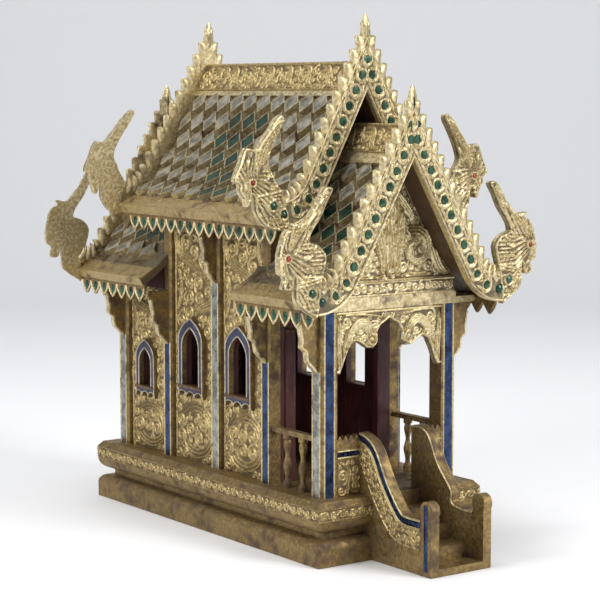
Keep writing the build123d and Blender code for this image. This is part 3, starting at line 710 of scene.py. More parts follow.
# ---------------------------------------------------------------- porch
# Turned gilt balusters under a plain rail, low carved panels beside the stair, and a fretwork arch of
# two great scrolls that hang from the beam.
finish(brown_gilt, "porch_rails", "porch_balusters", "porch_panels")
corner_back = post_face - CORNER
arch_low, arch_high = box_mm("front_arch")
arch_right = [(corner_back, low_plate), (corner_back, 199.0), (66.5, 197.5), (62.5, 206.0), (58.0, 217.0),
              (52.0, 228.0), (45.0, 231.5), (37.5, 228.0), (30.0, 223.0), (22.0, 222.5), (15.5, 230.0),
              (16.5, 240.0), (12.0, 246.5), (5.5, 250.0)]
arch_outline = np.array(arch_right + [(0, 253.5)] + [(-x, z) for x, z in arch_right[::-1]])


def arch_strokes():
    """Each half: a big scroll by the post, a smaller one towards the middle, and a rim along the edge."""
    strokes = [(shifted(walked(arch_outline[1:-1], 2.0), 1.6), 1.4, 2.2, 0),
               (np.array([(-corner_back, low_plate - 2), (corner_back, low_plate - 2)]), 1.6, 2.4, 0)]
    for s in (-1, 1):
        for k in range(4):
            sweep = stem((s * (62 - 2.5 * k), 216 + 3 * k), (s * (60 - 4 * k), 262 - 4 * k),
                         (s * (22 + 4 * k), 268 - 5 * k), (s * (20 + 3.2 * k), 229 + 2.5 * k), 26)
            strokes.append((sweep, 2.0, 4.0 - 0.3 * k, 1))
        strokes.append((curl((s * 25, 231), 7.5, 1.566, 1.2, s), 1.6, 4.2, 0))
        strokes.append((curl((s * 49, 236), 5.5, 1.6, 1.2, -s), 1.4, 3.6, 0))
        strokes += ribbon(stem((s * 68, 256), (s * 70, 236), (s * 65, 215), (s * 67.5, 200)), 2, 3.2, 1.5, 2.6)
        strokes += ribbon(stem((s * 62, 259), (s * 50, 261), (s * 30, 260), (s * 4, 254)), 1, 3.0, 1.4, 2.4)
    return strokes


strokes = arch_strokes()
strokes += curl_field([arch_outline], strokes, 6.5, 43, -0.2)
carve("front_arch_carving", [arch_outline], 0.8, lambda p: beads(p, strokes), *plane("y", arch_low[1], -1),
      carved_gilt, depth=arch_high[1] - arch_low[1], backed=True, full=2.6, stands_for=["front_arch"])
PANEL_TOP, PANEL_STRIP = 38.0, 44.5  # over the deck: a low panel's carving ends, and its mirror strip runs
panel_face = box_mm("porch_panels")[0][1]
for side, sign in (("left", -1), ("right", 1)):
    near, far = sorted((sign * (notch + 1), sign * (corner_back - 1)))
    band = rectangle(near, far, deck + 1, deck + PANEL_TOP)
    stems = ribbon(stem((sign * (notch + 4), deck + 3), (sign * (corner_back + 4), deck + 8),
                        (sign * (notch - 4), deck + 26), (sign * (corner_back - 4), deck + 36)), 2, 2.6, 1.0, 1.6)
    stems += curl_field([band], stems, 6.4, 41, -0.4)
    carve(f"porch_panel_{side}_carving", [band], 0.9, lambda p: beads(p, stems),
          *plane("y", panel_face - PROUD, -1), wall_gilt)
    ends = [(sign * (notch + 0.5), deck + PANEL_STRIP), (sign * (corner_back - 0.5), deck + PANEL_STRIP)]
    strip_and_beads(f"porch_panel_{side}", walked(np.array(ends), 8), *plane("y", panel_face, -1), blue_mirror,
                    half=2.6)


# ---------------------------------------------------------------- beams and pediments
# A tie beam with long noses rests on the corner posts at each end. The frieze board over it has a pressed
# scroll, and the pediment above is carved deep with two scrolls and a flame.
finish(plain_gilt, "front_beam", "rear_beam", "front_pediment", "rear_pediment")
beam_low, beam_high = box_mm("front_beam")
foot = beam_high[2]
frieze_half = post_face - 3
frieze = rectangle(-frieze_half, frieze_half, low_plate + 13.6, foot - 0.6)
frieze_strokes = [(np.array([(-frieze_half, v), (frieze_half, v)]), 0.9, 1.3, 0)
                  for v in (low_plate + 14.6, foot - 1.6)]
frieze_strokes += curl_field([frieze], frieze_strokes, 6.0, 51, -0.6)
# the slopes of the roofs' underside: a rafter's angle, the angle at the eave, and the radius of the arc between
UPPER = {"angle": 62.4, "end": 28.0, "radius": 184.3}
LOWER = {"angle": 60.0, "end": 30.0, "radius": 200.7}
SHELL = 8.0  # how thick the roofs are


def roof_curve(form, eave, eave_z, rise, s):
    """A roof curve lifted by `rise`: x, z and angle at s along it from the ridge, and its length.

    Over the rafter, x = s cos(angle); over the arc, the angle falls by s / radius.
    """
    angle, end = math.radians(form["angle"]), math.radians(form["end"])
    centre_x = eave + form["radius"] * math.sin(end)
    centre_z = eave_z + form["radius"] * math.cos(end)
    radius = form["radius"] - rise
    knee_x = centre_x - radius * math.sin(angle)
    apex = centre_z - radius * math.cos(angle) + knee_x * math.tan(angle)
    straight = knee_x / math.cos(angle)
    turn = angle - (s - straight) / radius
    on_arc = s > straight
    x = np.where(on_arc, centre_x - radius * np.sin(turn), s * math.cos(angle))
    z = np.where(on_arc, centre_z - radius * np.cos(turn), apex - s * math.sin(angle))
    return x, z, np.where(on_arc, turn, angle), straight + radius * (angle - end)


def roof_end(name, form):
    """The eave of a roof's underside, from the box of its shell."""
    low, high = box_mm(name)
    return high[0] - SHELL * math.sin(math.radians(form["end"])), low[2]


lower_eave = roof_end("front_roof_right", LOWER)
upper_eave = roof_end("upper_roof_right", UPPER)
s_all = np.linspace(0, roof_curve(LOWER, *lower_eave, 0, np.zeros(1))[3], 60)
under_x, under_z, _, _ = roof_curve(LOWER, *lower_eave, -1.5, s_all)
slope_line = np.stack([under_x, under_z], 1)[under_x < frieze_half - 2]
pediment_outline = np.concatenate([[(-frieze_half + 2, foot + 0.5), (frieze_half - 2, foot + 0.5)],
                                   slope_line[::-1], slope_line[1:] * (-1, 1)])


def pediment_strokes():
    """Two great scrolls, leaves that climb beside them, and a flame between."""
    strokes = []
    for s in (-1, 1):
        for k in range(3):
            start = 1.9 if s > 0 else 1.24
            strokes.append((curl((s * 35, foot + 32), 26 - 4.2 * k, start, 1.12, -s), 2.1, 4.6, 1))
        for line, *ridges in ((((12, 3), (2, 34), (22, 44), (14, 78)), 3, 4.2, 2.0, 4.0),
                              (((3, 60), (12, 72), (10, 90), (3, 116)), 2, 3.8, 1.8, 3.6),
                              (((82, 3), (62, 8), (66, 26), (46, 58)), 3, 3.2, 1.6, 3.0),
                              (((32, 62), (28, 74), (16, 82), (8, 96)), 3, 3.0, 1.5, 3.0),
                              (((60, 3), (48, 6), (30, 5), (16, 3)), 2, 3.0, 1.3, 2.4)):
            strokes += ribbon(stem(*((s * x, foot + z) for x, z in line)), *ridges)
    strokes += ribbon(stem((0, foot + 4), (-3, foot + 30), (3, foot + 60), (0, foot + 96)), 3, 4.0, 1.9, 3.8)
    return strokes


deep = pediment_strokes()
deep += curl_field([pediment_outline], deep, 6.4, 52, -0.4)
for end, out, board_y, beam_y in (("front", -1, box_mm("front_pediment")[0][1], beam_low[1]),
                                  ("rear", 1, box_mm("rear_pediment")[1][1], box_mm("rear_beam")[1][1])):
    carve(f"{end}_pediment_carving", [pediment_outline], 1.0, lambda p: beads(p, deep),
          *plane("y", board_y + out * 0.1, out), carved_gilt, depth=0.6, full=2.8)
    carve(f"{end}_frieze_carving", [frieze], 0.9, lambda p: beads(p, frieze_strokes),
          *plane("y", beam_y + out * PROUD, out), carved_gilt)


# ---------------------------------------------------------------- rear wall
# The rear wall is one board between the corner posts, pressed with the same scrolls as the sides and gilded.
# How it is held there is a guess.
rear_low, rear_high = box_mm("rear_wall")
rear_outline = rectangle(rear_low[0] + 0.3, rear_high[0] - 0.3, deck + 0.2, low_plate - 0.2)
rear_strokes = []
for s in (-1, 1):
    rear_strokes += ribbon(stem((s * 6, 250), (s * 70, 240), (s * 72, 190), (s * 10, 168)), 5, 2.6, 1.2, 1.9)
    rear_strokes += ribbon(stem((s * 4, 160), (s * 60, 150), (s * 70, 100), (s * 24, 76)), 5, 2.6, 1.2, 1.9)
    rear_strokes.append((np.array([(s * 68.5, deck), (s * 68.5, low_plate)]), 1.0, 1.3, 0))
rear_strokes += curl_field([rear_outline], rear_strokes, 9.4, 61, -0.6)
carve("rear_wall_carving", [rear_outline], 1.1, lambda p: beads(p, rear_strokes),
      *plane("y", rear_high[1] + 0.1, 1), carved_gilt)


# ---------------------------------------------------------------- roofs
# Boarded slopes, gilded, with a broad plain board at the eave. Diamond shingles are nailed over them in
# staggered rows: thick gilt wood, each with a diamond of grey or green mirror let into its face.
grey_mirror = mirror_material("grey_mirror", (0.14, 0.128, 0.1, 1), (0.40, 0.375, 0.31, 1),
                              0.34, 0.5)
green_mirror = mirror_material("green_mirror", (0.008, 0.024, 0.016, 1),
                               (0.035, 0.085, 0.055, 1), 0.25, 0.6)
shingle_gilt = gilt_material("shingle_gilt", (0.42, 0.34, 0.19, 1), (0.66, 0.58, 0.38, 1), SOOT_AND_SHADE, 0.19, False)


def boarding_material():
    """Roof boards: greyed gilding on faces that look up, and painted shade, a dark wood brown with no metal, wherever
    they face down.
    """
    material = gilt_material("roof_boards", (0.15, 0.12, 0.07, 1), (0.27, 0.23, 0.15, 1), SOOT_AND_SHADE, 0.2, False)
    tree = material.node_tree
    shader = tree.nodes["Principled BSDF"]
    facing = add(tree, "SeparateXYZ", {0: add(tree, "NewGeometry").outputs["True Normal"]}).outputs["Z"]
    # painted shade: the mix follows which way each face looks, dark brown below and gilding above
    lit_upward_mask = ranged(tree, facing, -0.1, 0.2, 0, 1)
    gilding = shader.inputs["Base Color"].links[0].from_socket
    tree.links.new(mixed(tree, lit_upward_mask, (0.07, 0.038, 0.016, 1), gilding), shader.inputs["Base Color"])
    tree.links.new(ranged(tree, lit_upward_mask, 0, 1, 0.0, 0.6), shader.inputs["Metallic"])
    return material


roof_boards = boarding_material()
finish(roof_boards, "upper_roof_left", "upper_roof_right", "front_roof_left", "front_roof_right",
       "rear_roof_left", "rear_roof_right")
ROW_PITCH, COLUMN_PITCH, FIRST_TIP = 24.8, 27.0, 61.0
HALF_LONG, HALF_WIDE = 14.6, 13.4
TILE_THICK, TILE_LIFT = 2.6, 5.0
GABLE_LEAN = 0.084  # the upper rear gable leans in by this share of its height, and the rows end with it
tile_roofs = {  # form, eave, rows, and the (row, column) of each green shingle
    "upper_roof": (UPPER, upper_eave, 6, ((1, 4), (1, 5), (1, 6), (2, 5), (2, 6), (2, 7), (3, 5), (3, 6), (4, 5),
                                          (4, 6), (5, 4), (5, 5))),
    "front_roof": (LOWER, lower_eave, 6, ((2, 1), (2, 2), (3, 0), (3, 1), (3, 2), (4, 1), (5, 2))),
    "rear_roof": (LOWER, lower_eave, 6, ((4, 0), (4, 1), (4, 2), (3, 3))),
}


def diamond(half_s, half_y):
    """The four corners of a diamond: up the slope, to the front, down, to the rear."""
    return np.array([(-half_s, 0), (0, -half_y), (half_s, 0), (0, half_y)], float)


def repeated(faces, corners, count):
    """The same faces for each of `count` solids that have `corners` points each."""
    faces = np.asarray(faces)
    return (faces + corners * np.arange(count)[:, None, None]).reshape(-1, faces.shape[1])


def end_caps(rows, columns):
    """The two faces that close a closed loft at its first and last row."""
    ids = np.arange(rows * columns).reshape(rows, columns)
    return np.stack([ids[0, ::-1], ids[-1]])


# a shingle's four rings of corners: its foot, its top, and the rim and bed of its glass
rings = ((diamond(HALF_LONG - 0.6, HALF_WIDE - 0.6), -0.6, 0), (diamond(HALF_LONG, HALF_WIDE), TILE_THICK, 1),
         (diamond(HALF_LONG - 1.9, HALF_WIDE - 1.9), TILE_THICK, 1),
         (diamond(HALF_LONG - 2.0, HALF_WIDE - 2.0), TILE_THICK - 0.7, 1))
for name, (form, eave, rows, green) in tile_roofs.items():
    low, high = box_mm(f"{name}_right")
    y0 = rear_bay_front + 1 if name == "rear_roof" else low[1] + 2
    y1 = room_front - 1 if name == "front_roof" else high[1] - 2
    tiles = []
    for row in range(rows):
        s = FIRST_TIP - HALF_LONG + row * ROW_PITCH
        _, z, _, length = roof_curve(form, *eave, SHELL, np.array([s]))
        row_end = y1 - (max(0.0, (z[0] - eave[1]) * GABLE_LEAN) if name == "upper_roof" else 0.0)
        first = y0 + HALF_WIDE + (row % 2) * COLUMN_PITCH / 2
        for column, y in enumerate(np.arange(first, row_end - HALF_WIDE * 0.55, COLUMN_PITCH)):
            tiles.append((s, y, (row, column) in green, row_end))
    tiles = np.array(tiles)
    random = np.random.default_rng(71)
    jitter = random.uniform(-0.6, 0.6, (len(tiles), 2))
    tip_lift = random.uniform(-0.5, 0.7, len(tiles))
    for side, sign in (("left", -1), ("right", 1)):
        shells = []
        for corners, height, tipped in rings:
            s = tiles[:, :1] + jitter[:, :1] + corners[:, 0]
            y = np.clip(tiles[:, 1:2] + jitter[:, 1:2] + corners[:, 1], y0, tiles[:, 3:])
            share = (corners[:, 0] + HALF_LONG) / (2 * HALF_LONG)
            lift = height + tipped * share * (TILE_LIFT + tip_lift[:, None])
            x, z, slant, _ = roof_curve(form, *eave, SHELL, s)
            shells.append(np.stack([sign * (x + lift * np.sin(slant)), y, z + lift * np.cos(slant)], -1))
        body = np.stack(shells, 1).reshape(len(tiles), -1, 3)
        faces = np.concatenate([loft(4, 4, closed=True), [[12, 13, 14, 15], [3, 2, 1, 0]]])
        make_piece(f"{name}_{side}_shingles", body.reshape(-1, 3), [repeated(faces, 16, len(tiles))],
                   shingle_gilt, sign < 0, crease=20)
        for colour, glass in (("grey", grey_mirror), ("green", green_mirror)):
            picked = body[tiles[:, 2] == (colour == "green")]
            brim, bed = picked[:, 8:12], picked[:, 12:16]
            pane = np.concatenate([bed, bed + (brim - bed) * 0.35], 1).reshape(-1, 3)
            faces = np.concatenate([[[4, 5, 6, 7]], loft(2, 4, closed=True)])
            make_piece(f"{name}_{side}_{colour}_glass", pane, [repeated(faces, 8, len(picked))], glass,
                       sign < 0, crease=20)
        # a plain board along the eave, with a thin lip that turns down over the roof's edge
        s = length + np.array([-21, -20.6, -2.6, -2.2, 1.0, 1.0, -0.2])
        rise = np.array([0.0, 1.6, 1.6, 2.8, 2.8, -8.2, -8.2])
        x, z, slant, _ = roof_curve(form, *eave, SHELL, s)
        points = np.concatenate([
            np.stack([sign * (x + rise * np.sin(slant)), np.full(7, y), z + rise * np.cos(slant)], 1)
            for y in (low[1] + 0.2, high[1] - 0.2)])
        make_piece(f"{name}_{side}_eave_board", points, [loft(2, 7), end_caps(2, 7)], old_gilt, sign < 0,
                   crease=20)


# ---------------------------------------------------------------- ridge caps
# Two boards meet over each ridge and cover the heads of the top shingles. A pressed band of scrolls fills
# their upper part, between a bead at the ridge and one above the plain lower strip.
finish(plain_gilt, "ridge_caps")
CAP_BAND = (1.2, 35.8)  # the pressed band starts and ends this far down from the ridge
caps = {  # form, eave, how thick the boards are, where they start and end
    "upper": (UPPER, upper_eave, 2.6, box_mm("upper_roof_right")[0][1], box_mm("upper_roof_right")[1][1] - 13),
    "front": (LOWER, lower_eave, 6.0, box_mm("front_roof_right")[0][1], room_front),
    "rear": (LOWER, lower_eave, 6.0, rear_bay_front, box_mm("rear_roof_right")[1][1]),
}
for name, (form, eave, thick, y0, y1) in caps.items():
    slope_x, slope_z = math.cos(math.radians(form["angle"])), math.sin(math.radians(form["angle"]))
    band = rectangle(y0 + 0.5, y1 - 0.5, *CAP_BAND)
    strokes = [(np.array([(y0, v), (y1, v)]), 1.2, 1.7, 0) for v in (CAP_BAND[0] + 1.2, CAP_BAND[1] - 1.2)]
    for y in np.arange(y0 + 16, y1 - 12, 36):
        strokes += ribbon(stem((y - 15, 31), (y + 6, 31), (y - 10, 6), (y + 15, 6)), 3, 2.9, 1.4, 1.9)
    strokes += curl_field([band], strokes, 8.2, 81, -0.6)
    apex = roof_curve(form, *eave, SHELL + thick, np.zeros(1))[1][0]
    for side, sign in (("left", -1), ("right", 1)):
        def place(u, v, h):
            lift = h + 0.1
            return np.stack([sign * (v * slope_x + lift * slope_z), u, apex - v * slope_z + lift * slope_x], 1)
        carve(f"ridge_band_{name}_{side}", [band], 0.95, lambda p: beads(p, strokes), place, sign > 0, wall_gilt)


# ---------------------------------------------------------------- bargeboards
# Each gable has a pair of broad boards that sweep down to the eaves. Their face is set with green glass in
# pointed rings, flame-shaped leaves are nailed along the upper edge, and a bud crowns the joint.
BOARD_WIDE, BOARD_THICK = 28.0, 7.0
SUNK = 4.6  # the lower rear boards are planed back by this, so that their carving stays within the board
RING_LINE = 13.6  # the rings' middles lie this far up across the board
RING_PITCH, FIRST_RING = 18.6, 23.3  # from ring to ring, and from the board's foot to the first one
lean_sin, lean_cos = math.sin(math.radians(4.8)), math.cos(math.radians(4.8))
upper_barge = ({"angle": 62.4, "end": 0.0, "radius": 66.0},
               (upper_eave[0], box_mm("bargeboards_upper_front")[0][2]))
lower_barge = ({"angle": 60.0, "end": 0.0, "radius": 57.6},
               (lower_eave[0], box_mm("bargeboards_lower_front")[0][2]))
gables = {  # the lower curve's form and eave, where the face is, which way it looks, how thick the board is
    "upper_front": (*upper_barge, box_mm("bargeboards_upper_front")[0][1], -1, BOARD_THICK),
    "upper_rear": (*upper_barge, box_mm("upper_roof_right")[1][1] + BOARD_THICK, 1, BOARD_THICK),
    "lower_front": (*lower_barge, box_mm("bargeboards_lower_front")[0][1], -1, BOARD_THICK),
    "lower_rear": (*lower_barge, box_mm("bargeboards_lower_rear")[1][1] - SUNK, 1, BOARD_THICK - SUNK),
}
glass_stone = mirror_material("glass_stone", (0.010, 0.040, 0.024, 1),
                              (0.045, 0.115, 0.068, 1), 0.14, 0.45)


def at_gable(name, points):
    """Points of a gable where they stand: the upper rear one tips to the front about the upper eave line."""
    if name != "upper_rear":
        return points
    _, _, y_face, _, thick = gables[name]
    back = y_face - thick
    y, z = points[:, 1] - back, points[:, 2] - upper_eave[1]
    return np.stack([points[:, 0], back + y * lean_cos - z * lean_sin,
                     upper_eave[1] + y * lean_sin + z * lean_cos], 1)


def barge_point(form, eave, s, t):
    """The point t outwards from the board's lower curve, s along it; s is negative past the ridge."""
    x, z, slant, _ = roof_curve(form, *eave, 0.0, s)
    return x + t * np.sin(slant), z + t * np.cos(slant)


for name, (form, eave, y_face, out, thick) in gables.items():
    length = float(roof_curve(form, *eave, 0.0, np.zeros(1))[3])
    steep = math.tan(math.radians(form["angle"]))
    # the rings keep their pitch along RING_LINE, which is shorter than the board's edge on the arc
    knee = length - form["radius"] * math.radians(form["angle"])
    tight = form["radius"] / (form["radius"] - RING_LINE)
    ring_m = np.arange(knee + (length - knee) / tight - FIRST_RING, -36, -RING_PITCH)
    ring_s = np.where(ring_m > knee, knee + (ring_m - knee) * tight, ring_m)
    strokes = []
    for s in ring_s:
        strokes.append((arc((s - 1, RING_LINE), 9.2, 8.8, -125, 125, 16), 1.25, 2.1, 1))
        strokes.append((arc((s, RING_LINE), 6.5, 6.2, -170, 170, 14), 1.1, 1.7, 0))
        for t, lean_t in ((5.2, 1.6), (22.0, -1.6)):
            strokes.append((stem((s - 13, t), (s - 8, t + lean_t), (s - 4, t + lean_t), (s + 1, t - lean_t / 2), 8),
                            1.2, 1.6, 1))
        for t, bent_t in ((10.5, 12.5), (16.7, 14.7)):
            strokes.append((stem((s - 14, t), (s - 11, bent_t), (s - 10, RING_LINE), (s - 9.5, RING_LINE), 6),
                            1.1, 1.5, 1))
    along = np.linspace(0, 1, int(length * 1.12))[:, None]
    across = np.concatenate([[0, 0], np.linspace(0.3, BOARD_WIDE - 0.3, 29), [BOARD_WIDE, BOARD_WIDE]])[None, :]
    start = -across * steep
    s = start + (length - start) * along
    t = np.broadcast_to(across, s.shape)
    relief = beads(np.stack([s.ravel(), t.ravel()], 1), strokes).reshape(s.shape)
    for edge, wide, tall in ((1.6, 1.3, 1.9), (25.6, 1.1, 1.6)):
        relief = np.maximum(relief, tall * np.sqrt(np.clip(1 - ((t - edge) / wide) ** 2, 0, 1)))
    relief[:, [0, 1, -2, -1]] = 0
    x, z = barge_point(form, eave, s, t)
    rows, columns = s.shape
    depth = np.zeros(columns)
    depth[[0, -1]] = thick
    shade = np.clip(relief / 1.3, 0, 1)
    shade[:, [0, 1, -2, -1]] = 0.8
    leaf_s = np.arange(length - 4, -63, -16.4)
    _, crown = barge_point(form, eave, -BOARD_WIDE * steep, BOARD_WIDE)
    top = box_mm(f"bargeboards_{name.split('_')[0]}_front")[1][2] - 0.5
    up = np.linspace(0, 1, 9)[:, None]
    turn = np.radians(np.arange(8) * 45)

    def stand(sign, aside, high, ahead):
        """Points of this gable: to the side of the ridge, up, and ahead of the boards' face."""
        x, y, z = np.broadcast_arrays(sign * aside, y_face + out * ahead, high)
        return at_gable(name, np.stack([x, y, z], -1).reshape(-1, 3))

    for sign, side in ((-1, "left"), (1, "right")):
        turned = sign * out > 0
        make_piece(f"bargeboard_{name}_{side}", stand(sign, x, z, relief - depth),
                   [loft(rows, columns, closed=True)[:, [0, 3, 2, 1]], end_caps(rows, columns)[:, ::-1]],
                   carved_gilt, turned, relief=shade.ravel(),
                   stands_for=[f"bargeboards_{name}"] if sign < 0 else ())
        # stones: low domes of six sides, steep at the rim and nearly flat on top
        random = np.random.default_rng(91)
        hexagon = np.radians(np.arange(6) * 60)
        reach = random.uniform(4.7, 6.1, (len(ring_s), 1, 6)) * np.array([1.0, 0.72, 0.02])[:, None]
        stone_x, stone_z = barge_point(form, eave, ring_s[:, None, None] + reach * np.cos(hexagon),
                                       13.5 + reach * np.sin(hexagon) * 0.95)
        make_piece(f"stones_{name}_{side}", stand(sign, stone_x, stone_z, np.array([0.0, 1.5, 1.9])[:, None]),
                   [repeated(loft(3, 6, closed=True), 18, len(ring_s)),
                    repeated([[12, 13, 14, 15, 16, 17]], 18, len(ring_s))], glass_stone, turned, crease=20)
        # leaves: a lens section carried up a curved spine, from a broad foot to a hooked tip
        girth = 6.2 * np.sin(math.pi * np.clip(0.24 + 0.68 * up, 0, 1)) ** 0.6
        spine_s = leaf_s[:, None, None] + 10 - 22 * up + 5 * up ** 3
        spine_t = 22.5 + 6 * up + 8.0 * up ** 1.8
        leaf_x, leaf_z = barge_point(form, eave, spine_s + girth * np.cos(turn) * 0.8,
                                     spine_t + girth * np.cos(turn) * 0.92)
        puffed = np.minimum(girth * 0.9, 4.2) * np.sin(turn)
        make_piece(f"leaves_{name}_{side}",
                   stand(sign, np.maximum(leaf_x, 0.3), np.minimum(leaf_z, top - 1), puffed - thick / 2),
                   [repeated(loft(9, 8, closed=True)[:, [0, 3, 2, 1]], 72, len(leaf_s)),
                    repeated(end_caps(9, 8)[:, ::-1], 72, len(leaf_s))], plain_gilt, turned, crease=60)
    # the bud over the joint: a pointed oval of eight sides
    girth = 7.5 * np.sin(math.pi * (0.2 + 0.76 * up)) ** 0.6 * (1 - 0.15 * up)
    make_piece(f"bud_{name}", stand(1, girth * np.cos(turn), crown - 12 + (top - crown + 12) * up,
                                    out * 0.45 * girth * np.sin(turn) - thick / 2),
               [loft(9, 8, closed=True), end_caps(9, 8)], plain_gilt, crease=60)


# ---------------------------------------------------------------- naga heads
# Each eave ends in a naga: a head and a flaming crest sawn from one board with its neck, scaly ridges cut
# into its face, a red glass eye, and green stones below a collar. The backs are plain gilt.
lower_head = np.array([(0, 0), (4.7, 0.1), (16.3, 7), (26.4, 16.3), (27.5, 32.7), (28.8, 41.5), (32, 29.2),
                       (42.3, 29.8), (40.6, 40.9), (46.5, 45), (47.8, 53.7), (47.6, 64.8), (44.4, 75.9), (39.8, 87),
                       (30.9, 90.7), (35.2, 94.9), (30.8, 96.1), (20.6, 94.3), (10.3, 102.3), (-1.5, 117.8),
                       (-8.9, 129.9), (-18.9, 129.1), (-11.5, 116), (-4.1, 101.7), (7.7, 86.1), (10.7, 77.3),
                       (7.9, 75.2), (-2.2, 71.3), (-10.7, 59.7), (-4.5, 34.5)])
upper_head = np.array([(-13.7, -1.1), (-0.9, -2.6), (11.9, 0), (22, 7.6), (29.5, 18.3), (30.7, 30.7), (34.4, 36),
                       (36.9, 25.8), (40.7, 23.8), (43.2, 31.1), (49.3, 39.6), (49.3, 46.7), (55.5, 50), (54.2, 57.1),
                       (49.2, 67.2), (45.5, 77.4), (40.5, 84.5), (28.1, 82.2), (21.8, 90.4), (11.7, 102.6),
                       (4.1, 112.8), (-3.2, 118), (-6, 112), (3, 96), (10, 82), (14.3, 68), (9, 58), (4, 48),
                       (-2.2, 40.1), (-4.7, 32.7)])
HEADS = {  # outline, share of its reach, how far the crest is moved, eye
    "upper_front": (upper_head, 1.0, (0, 0), (35, 48.4)),
    "upper_rear": (upper_head, 0.88, (-9, 3), (35, 48.4)),
    "lower_front": (lower_head, 1.0, (0, 0), (38.5, 60.5)),
    "lower_rear": (lower_head, 1.0, (-1.5, 2), (38.5, 60.5)),
}
red_glass = mirror_material("red_glass", (0.16, 0.012, 0.006, 1), (0.34, 0.035, 0.016, 1),
                            0.12, 0.3)


def neck_stones(collar):
    """The middles of the two green stones under a head's collar."""
    (back, _), (front, low) = collar
    return [(back * 0.58 + front * 0.42, low - 10.5), (-4.7, 14)]


def head_strokes(outline, eye, collar):
    """The cuts of one head: beads, eye ring, feathers, beak, and the long ridges of the crest."""
    edge = walked(np.concatenate([outline, outline[:1]]), 2.0)
    strokes = [(shifted(edge, -1.5), 1.0, 2.0, 0), (arc(eye, 3.9, 3.9, 0, 360, 16), 1.3, 3.0, 0)]
    tip = outline[outline[:, 1].argmax()] + (1, -4)
    x, z = eye
    root = np.array([x - 4, z + 9.0])
    strokes += ribbon(stem(root, (x - 10, z + 34), (tip[0] + 26, tip[1] - 30), tip, 26), 4, 3.5, 1.2, 2.4)
    for k in range(6):
        start = (x - 6 + 1.0 * k, z + 6 - 2.6 * k)
        far = (x - 36 + 3.5 * k, z + 10 - 8 * k)
        strokes.append((stem(start, (x - 14, z + 13 - 6.5 * k), (x - 22, z - 2 - 5 * k), far, 14),
                        1.15, 2.2, 1))
        strokes.append((stem((x - 11, z + 2 - 4.6 * k), (x - 17, z + 6 - 6 * k), (x - 21, z - 6 - 5.6 * k),
                             (x - 28, z - 1 - 7 * k), 12), 0.95, 1.6, 1))
    for k in range(4):
        strokes.append((stem((x + 6 - 1.5 * k, z + 6 - k), (x + 13 - 2.6 * k, z - 2), (x + 8 - 2.6 * k, z - 14),
                             (x + 5 - 2.8 * k, z - 28 + 2 * k), 14), 1.0, 2.0, 1))
        strokes.append((stem((x + 4 - 3.4 * k, z + 7), (x + 9 - 4 * k, z + 15), (x + 2 - 4 * k, z + 20),
                             (x + 5 - 5 * k, z + 27 - 2 * k), 10), 1.05, 2.0, 1))
    strokes += [(np.array(collar, float), 1.5, 2.6, 0), (np.array(collar, float) + (1.5, -4.2), 1.0, 2.0, 0)]
    for stone in neck_stones(collar):
        strokes.append((arc(stone, 5.8, 6.0, -30, 330, 14), 1.1, 2.4, 0))
    return strokes


def feather_field(outline, strokes, eye):
    """Short tapering cuts wherever there is room on a head, fanned out behind and above its eye."""
    low, high = outline.min(0), outline.max(0)
    lattice = []
    for i, row in enumerate(np.arange(low[1] + 2, high[1] - 2, 4.2)):
        columns = np.arange(low[0] + 1 + 2.6 * (i % 2), high[0], 5.2)
        lattice.append(np.stack([columns, np.full_like(columns, row)], 1))
    lattice = np.concatenate(lattice)
    lattice = lattice[inside(lattice, [outline])]
    starts = np.concatenate([line[:-1] for line, _, _, _ in strokes])
    ends = np.concatenate([line[1:] for line, _, _, _ in strokes])
    lattice = lattice[nearest(lattice, starts, ends)[1] > 1.7]
    away = lattice - eye
    away = away / np.linalg.norm(away, axis=1)[:, None] + (-0.35, 0.25)
    away /= np.linalg.norm(away, axis=1)[:, None]
    side = np.stack([-away[:, 1], away[:, 0]], 1)
    return [(stem(p - w * 3.2, p - w + n * 0.8, p + w + n * 0.8, p + w * 3.4, 5), 1.25, 2.1, 1)
            for p, w, n in zip(lattice, away, side)]


def dome(name, centres, wide, tall, rise, sunk, place, flip, material):
    """Low oval domes of ten sides: h = rise (1 - r^2), over an upright rim let in by `sunk`."""
    turn = np.radians(np.arange(10) * 36)
    radii = np.array([1.0, 1.0, 0.8, 0.45, 0.04])[:, None]
    middles = np.asarray(centres, float)[:, :, None, None]
    u = middles[:, 0] + wide * radii * np.cos(turn)
    v = middles[:, 1] + tall * radii * np.sin(turn)
    h = np.broadcast_to(rise * (1 - radii ** 2) - np.array([sunk, 0, 0, 0, 0])[:, None], u.shape)
    faces = [repeated(loft(5, 10, closed=True), 50, len(centres)),
             repeated([np.arange(40, 50)], 50, len(centres))]
    return make_piece(name, place(u.ravel(), v.ravel(), h.ravel()), faces, material, flip, crease=30)


for name, (outline, reach, (crest_out, crest_up), eye) in HEADS.items():
    form, (foot_x, foot_z), y_face, out, thick = gables[name]
    share = np.clip((outline[:, 1:] - 78) / 40, 0, 1)
    shape = outline * (reach, 1) + share * (crest_out, crest_up)
    eye = (eye[0] * reach, eye[1])
    collar = ((-6 * reach, 40), (28.5 * reach, 34))
    smooth = rounded(shape, 3)
    strokes = head_strokes(smooth, eye, collar)
    strokes += feather_field(smooth, strokes, eye)
    for sign, side in ((-1, "left"), (1, "right")):
        def place(u, v, h):
            return at_gable(name, np.stack([sign * (foot_x + u), y_face + out * h, foot_z + v], 1))
        flip = sign * out > 0
        carve(f"naga_{name}_{side}", [smooth], 1.0, lambda p: beads(p, strokes), place, flip, carved_gilt,
              depth=thick, backed=True, full=1.5, swell=1.3,
              stands_for=[f"naga_heads_{name}"] if sign < 0 else ())
        dome(f"naga_eye_{name}_{side}", [eye], 3.4, 3.4, 1.8, 2.0, lambda u, v, h: place(u, v, h + 2.5), flip,
             red_glass)
        dome(f"naga_stones_{name}_{side}", neck_stones(collar), 4.3, 4.5, 1.8, 2.4,
             lambda u, v, h: place(u, v, h + 2.4), flip, glass_stone)


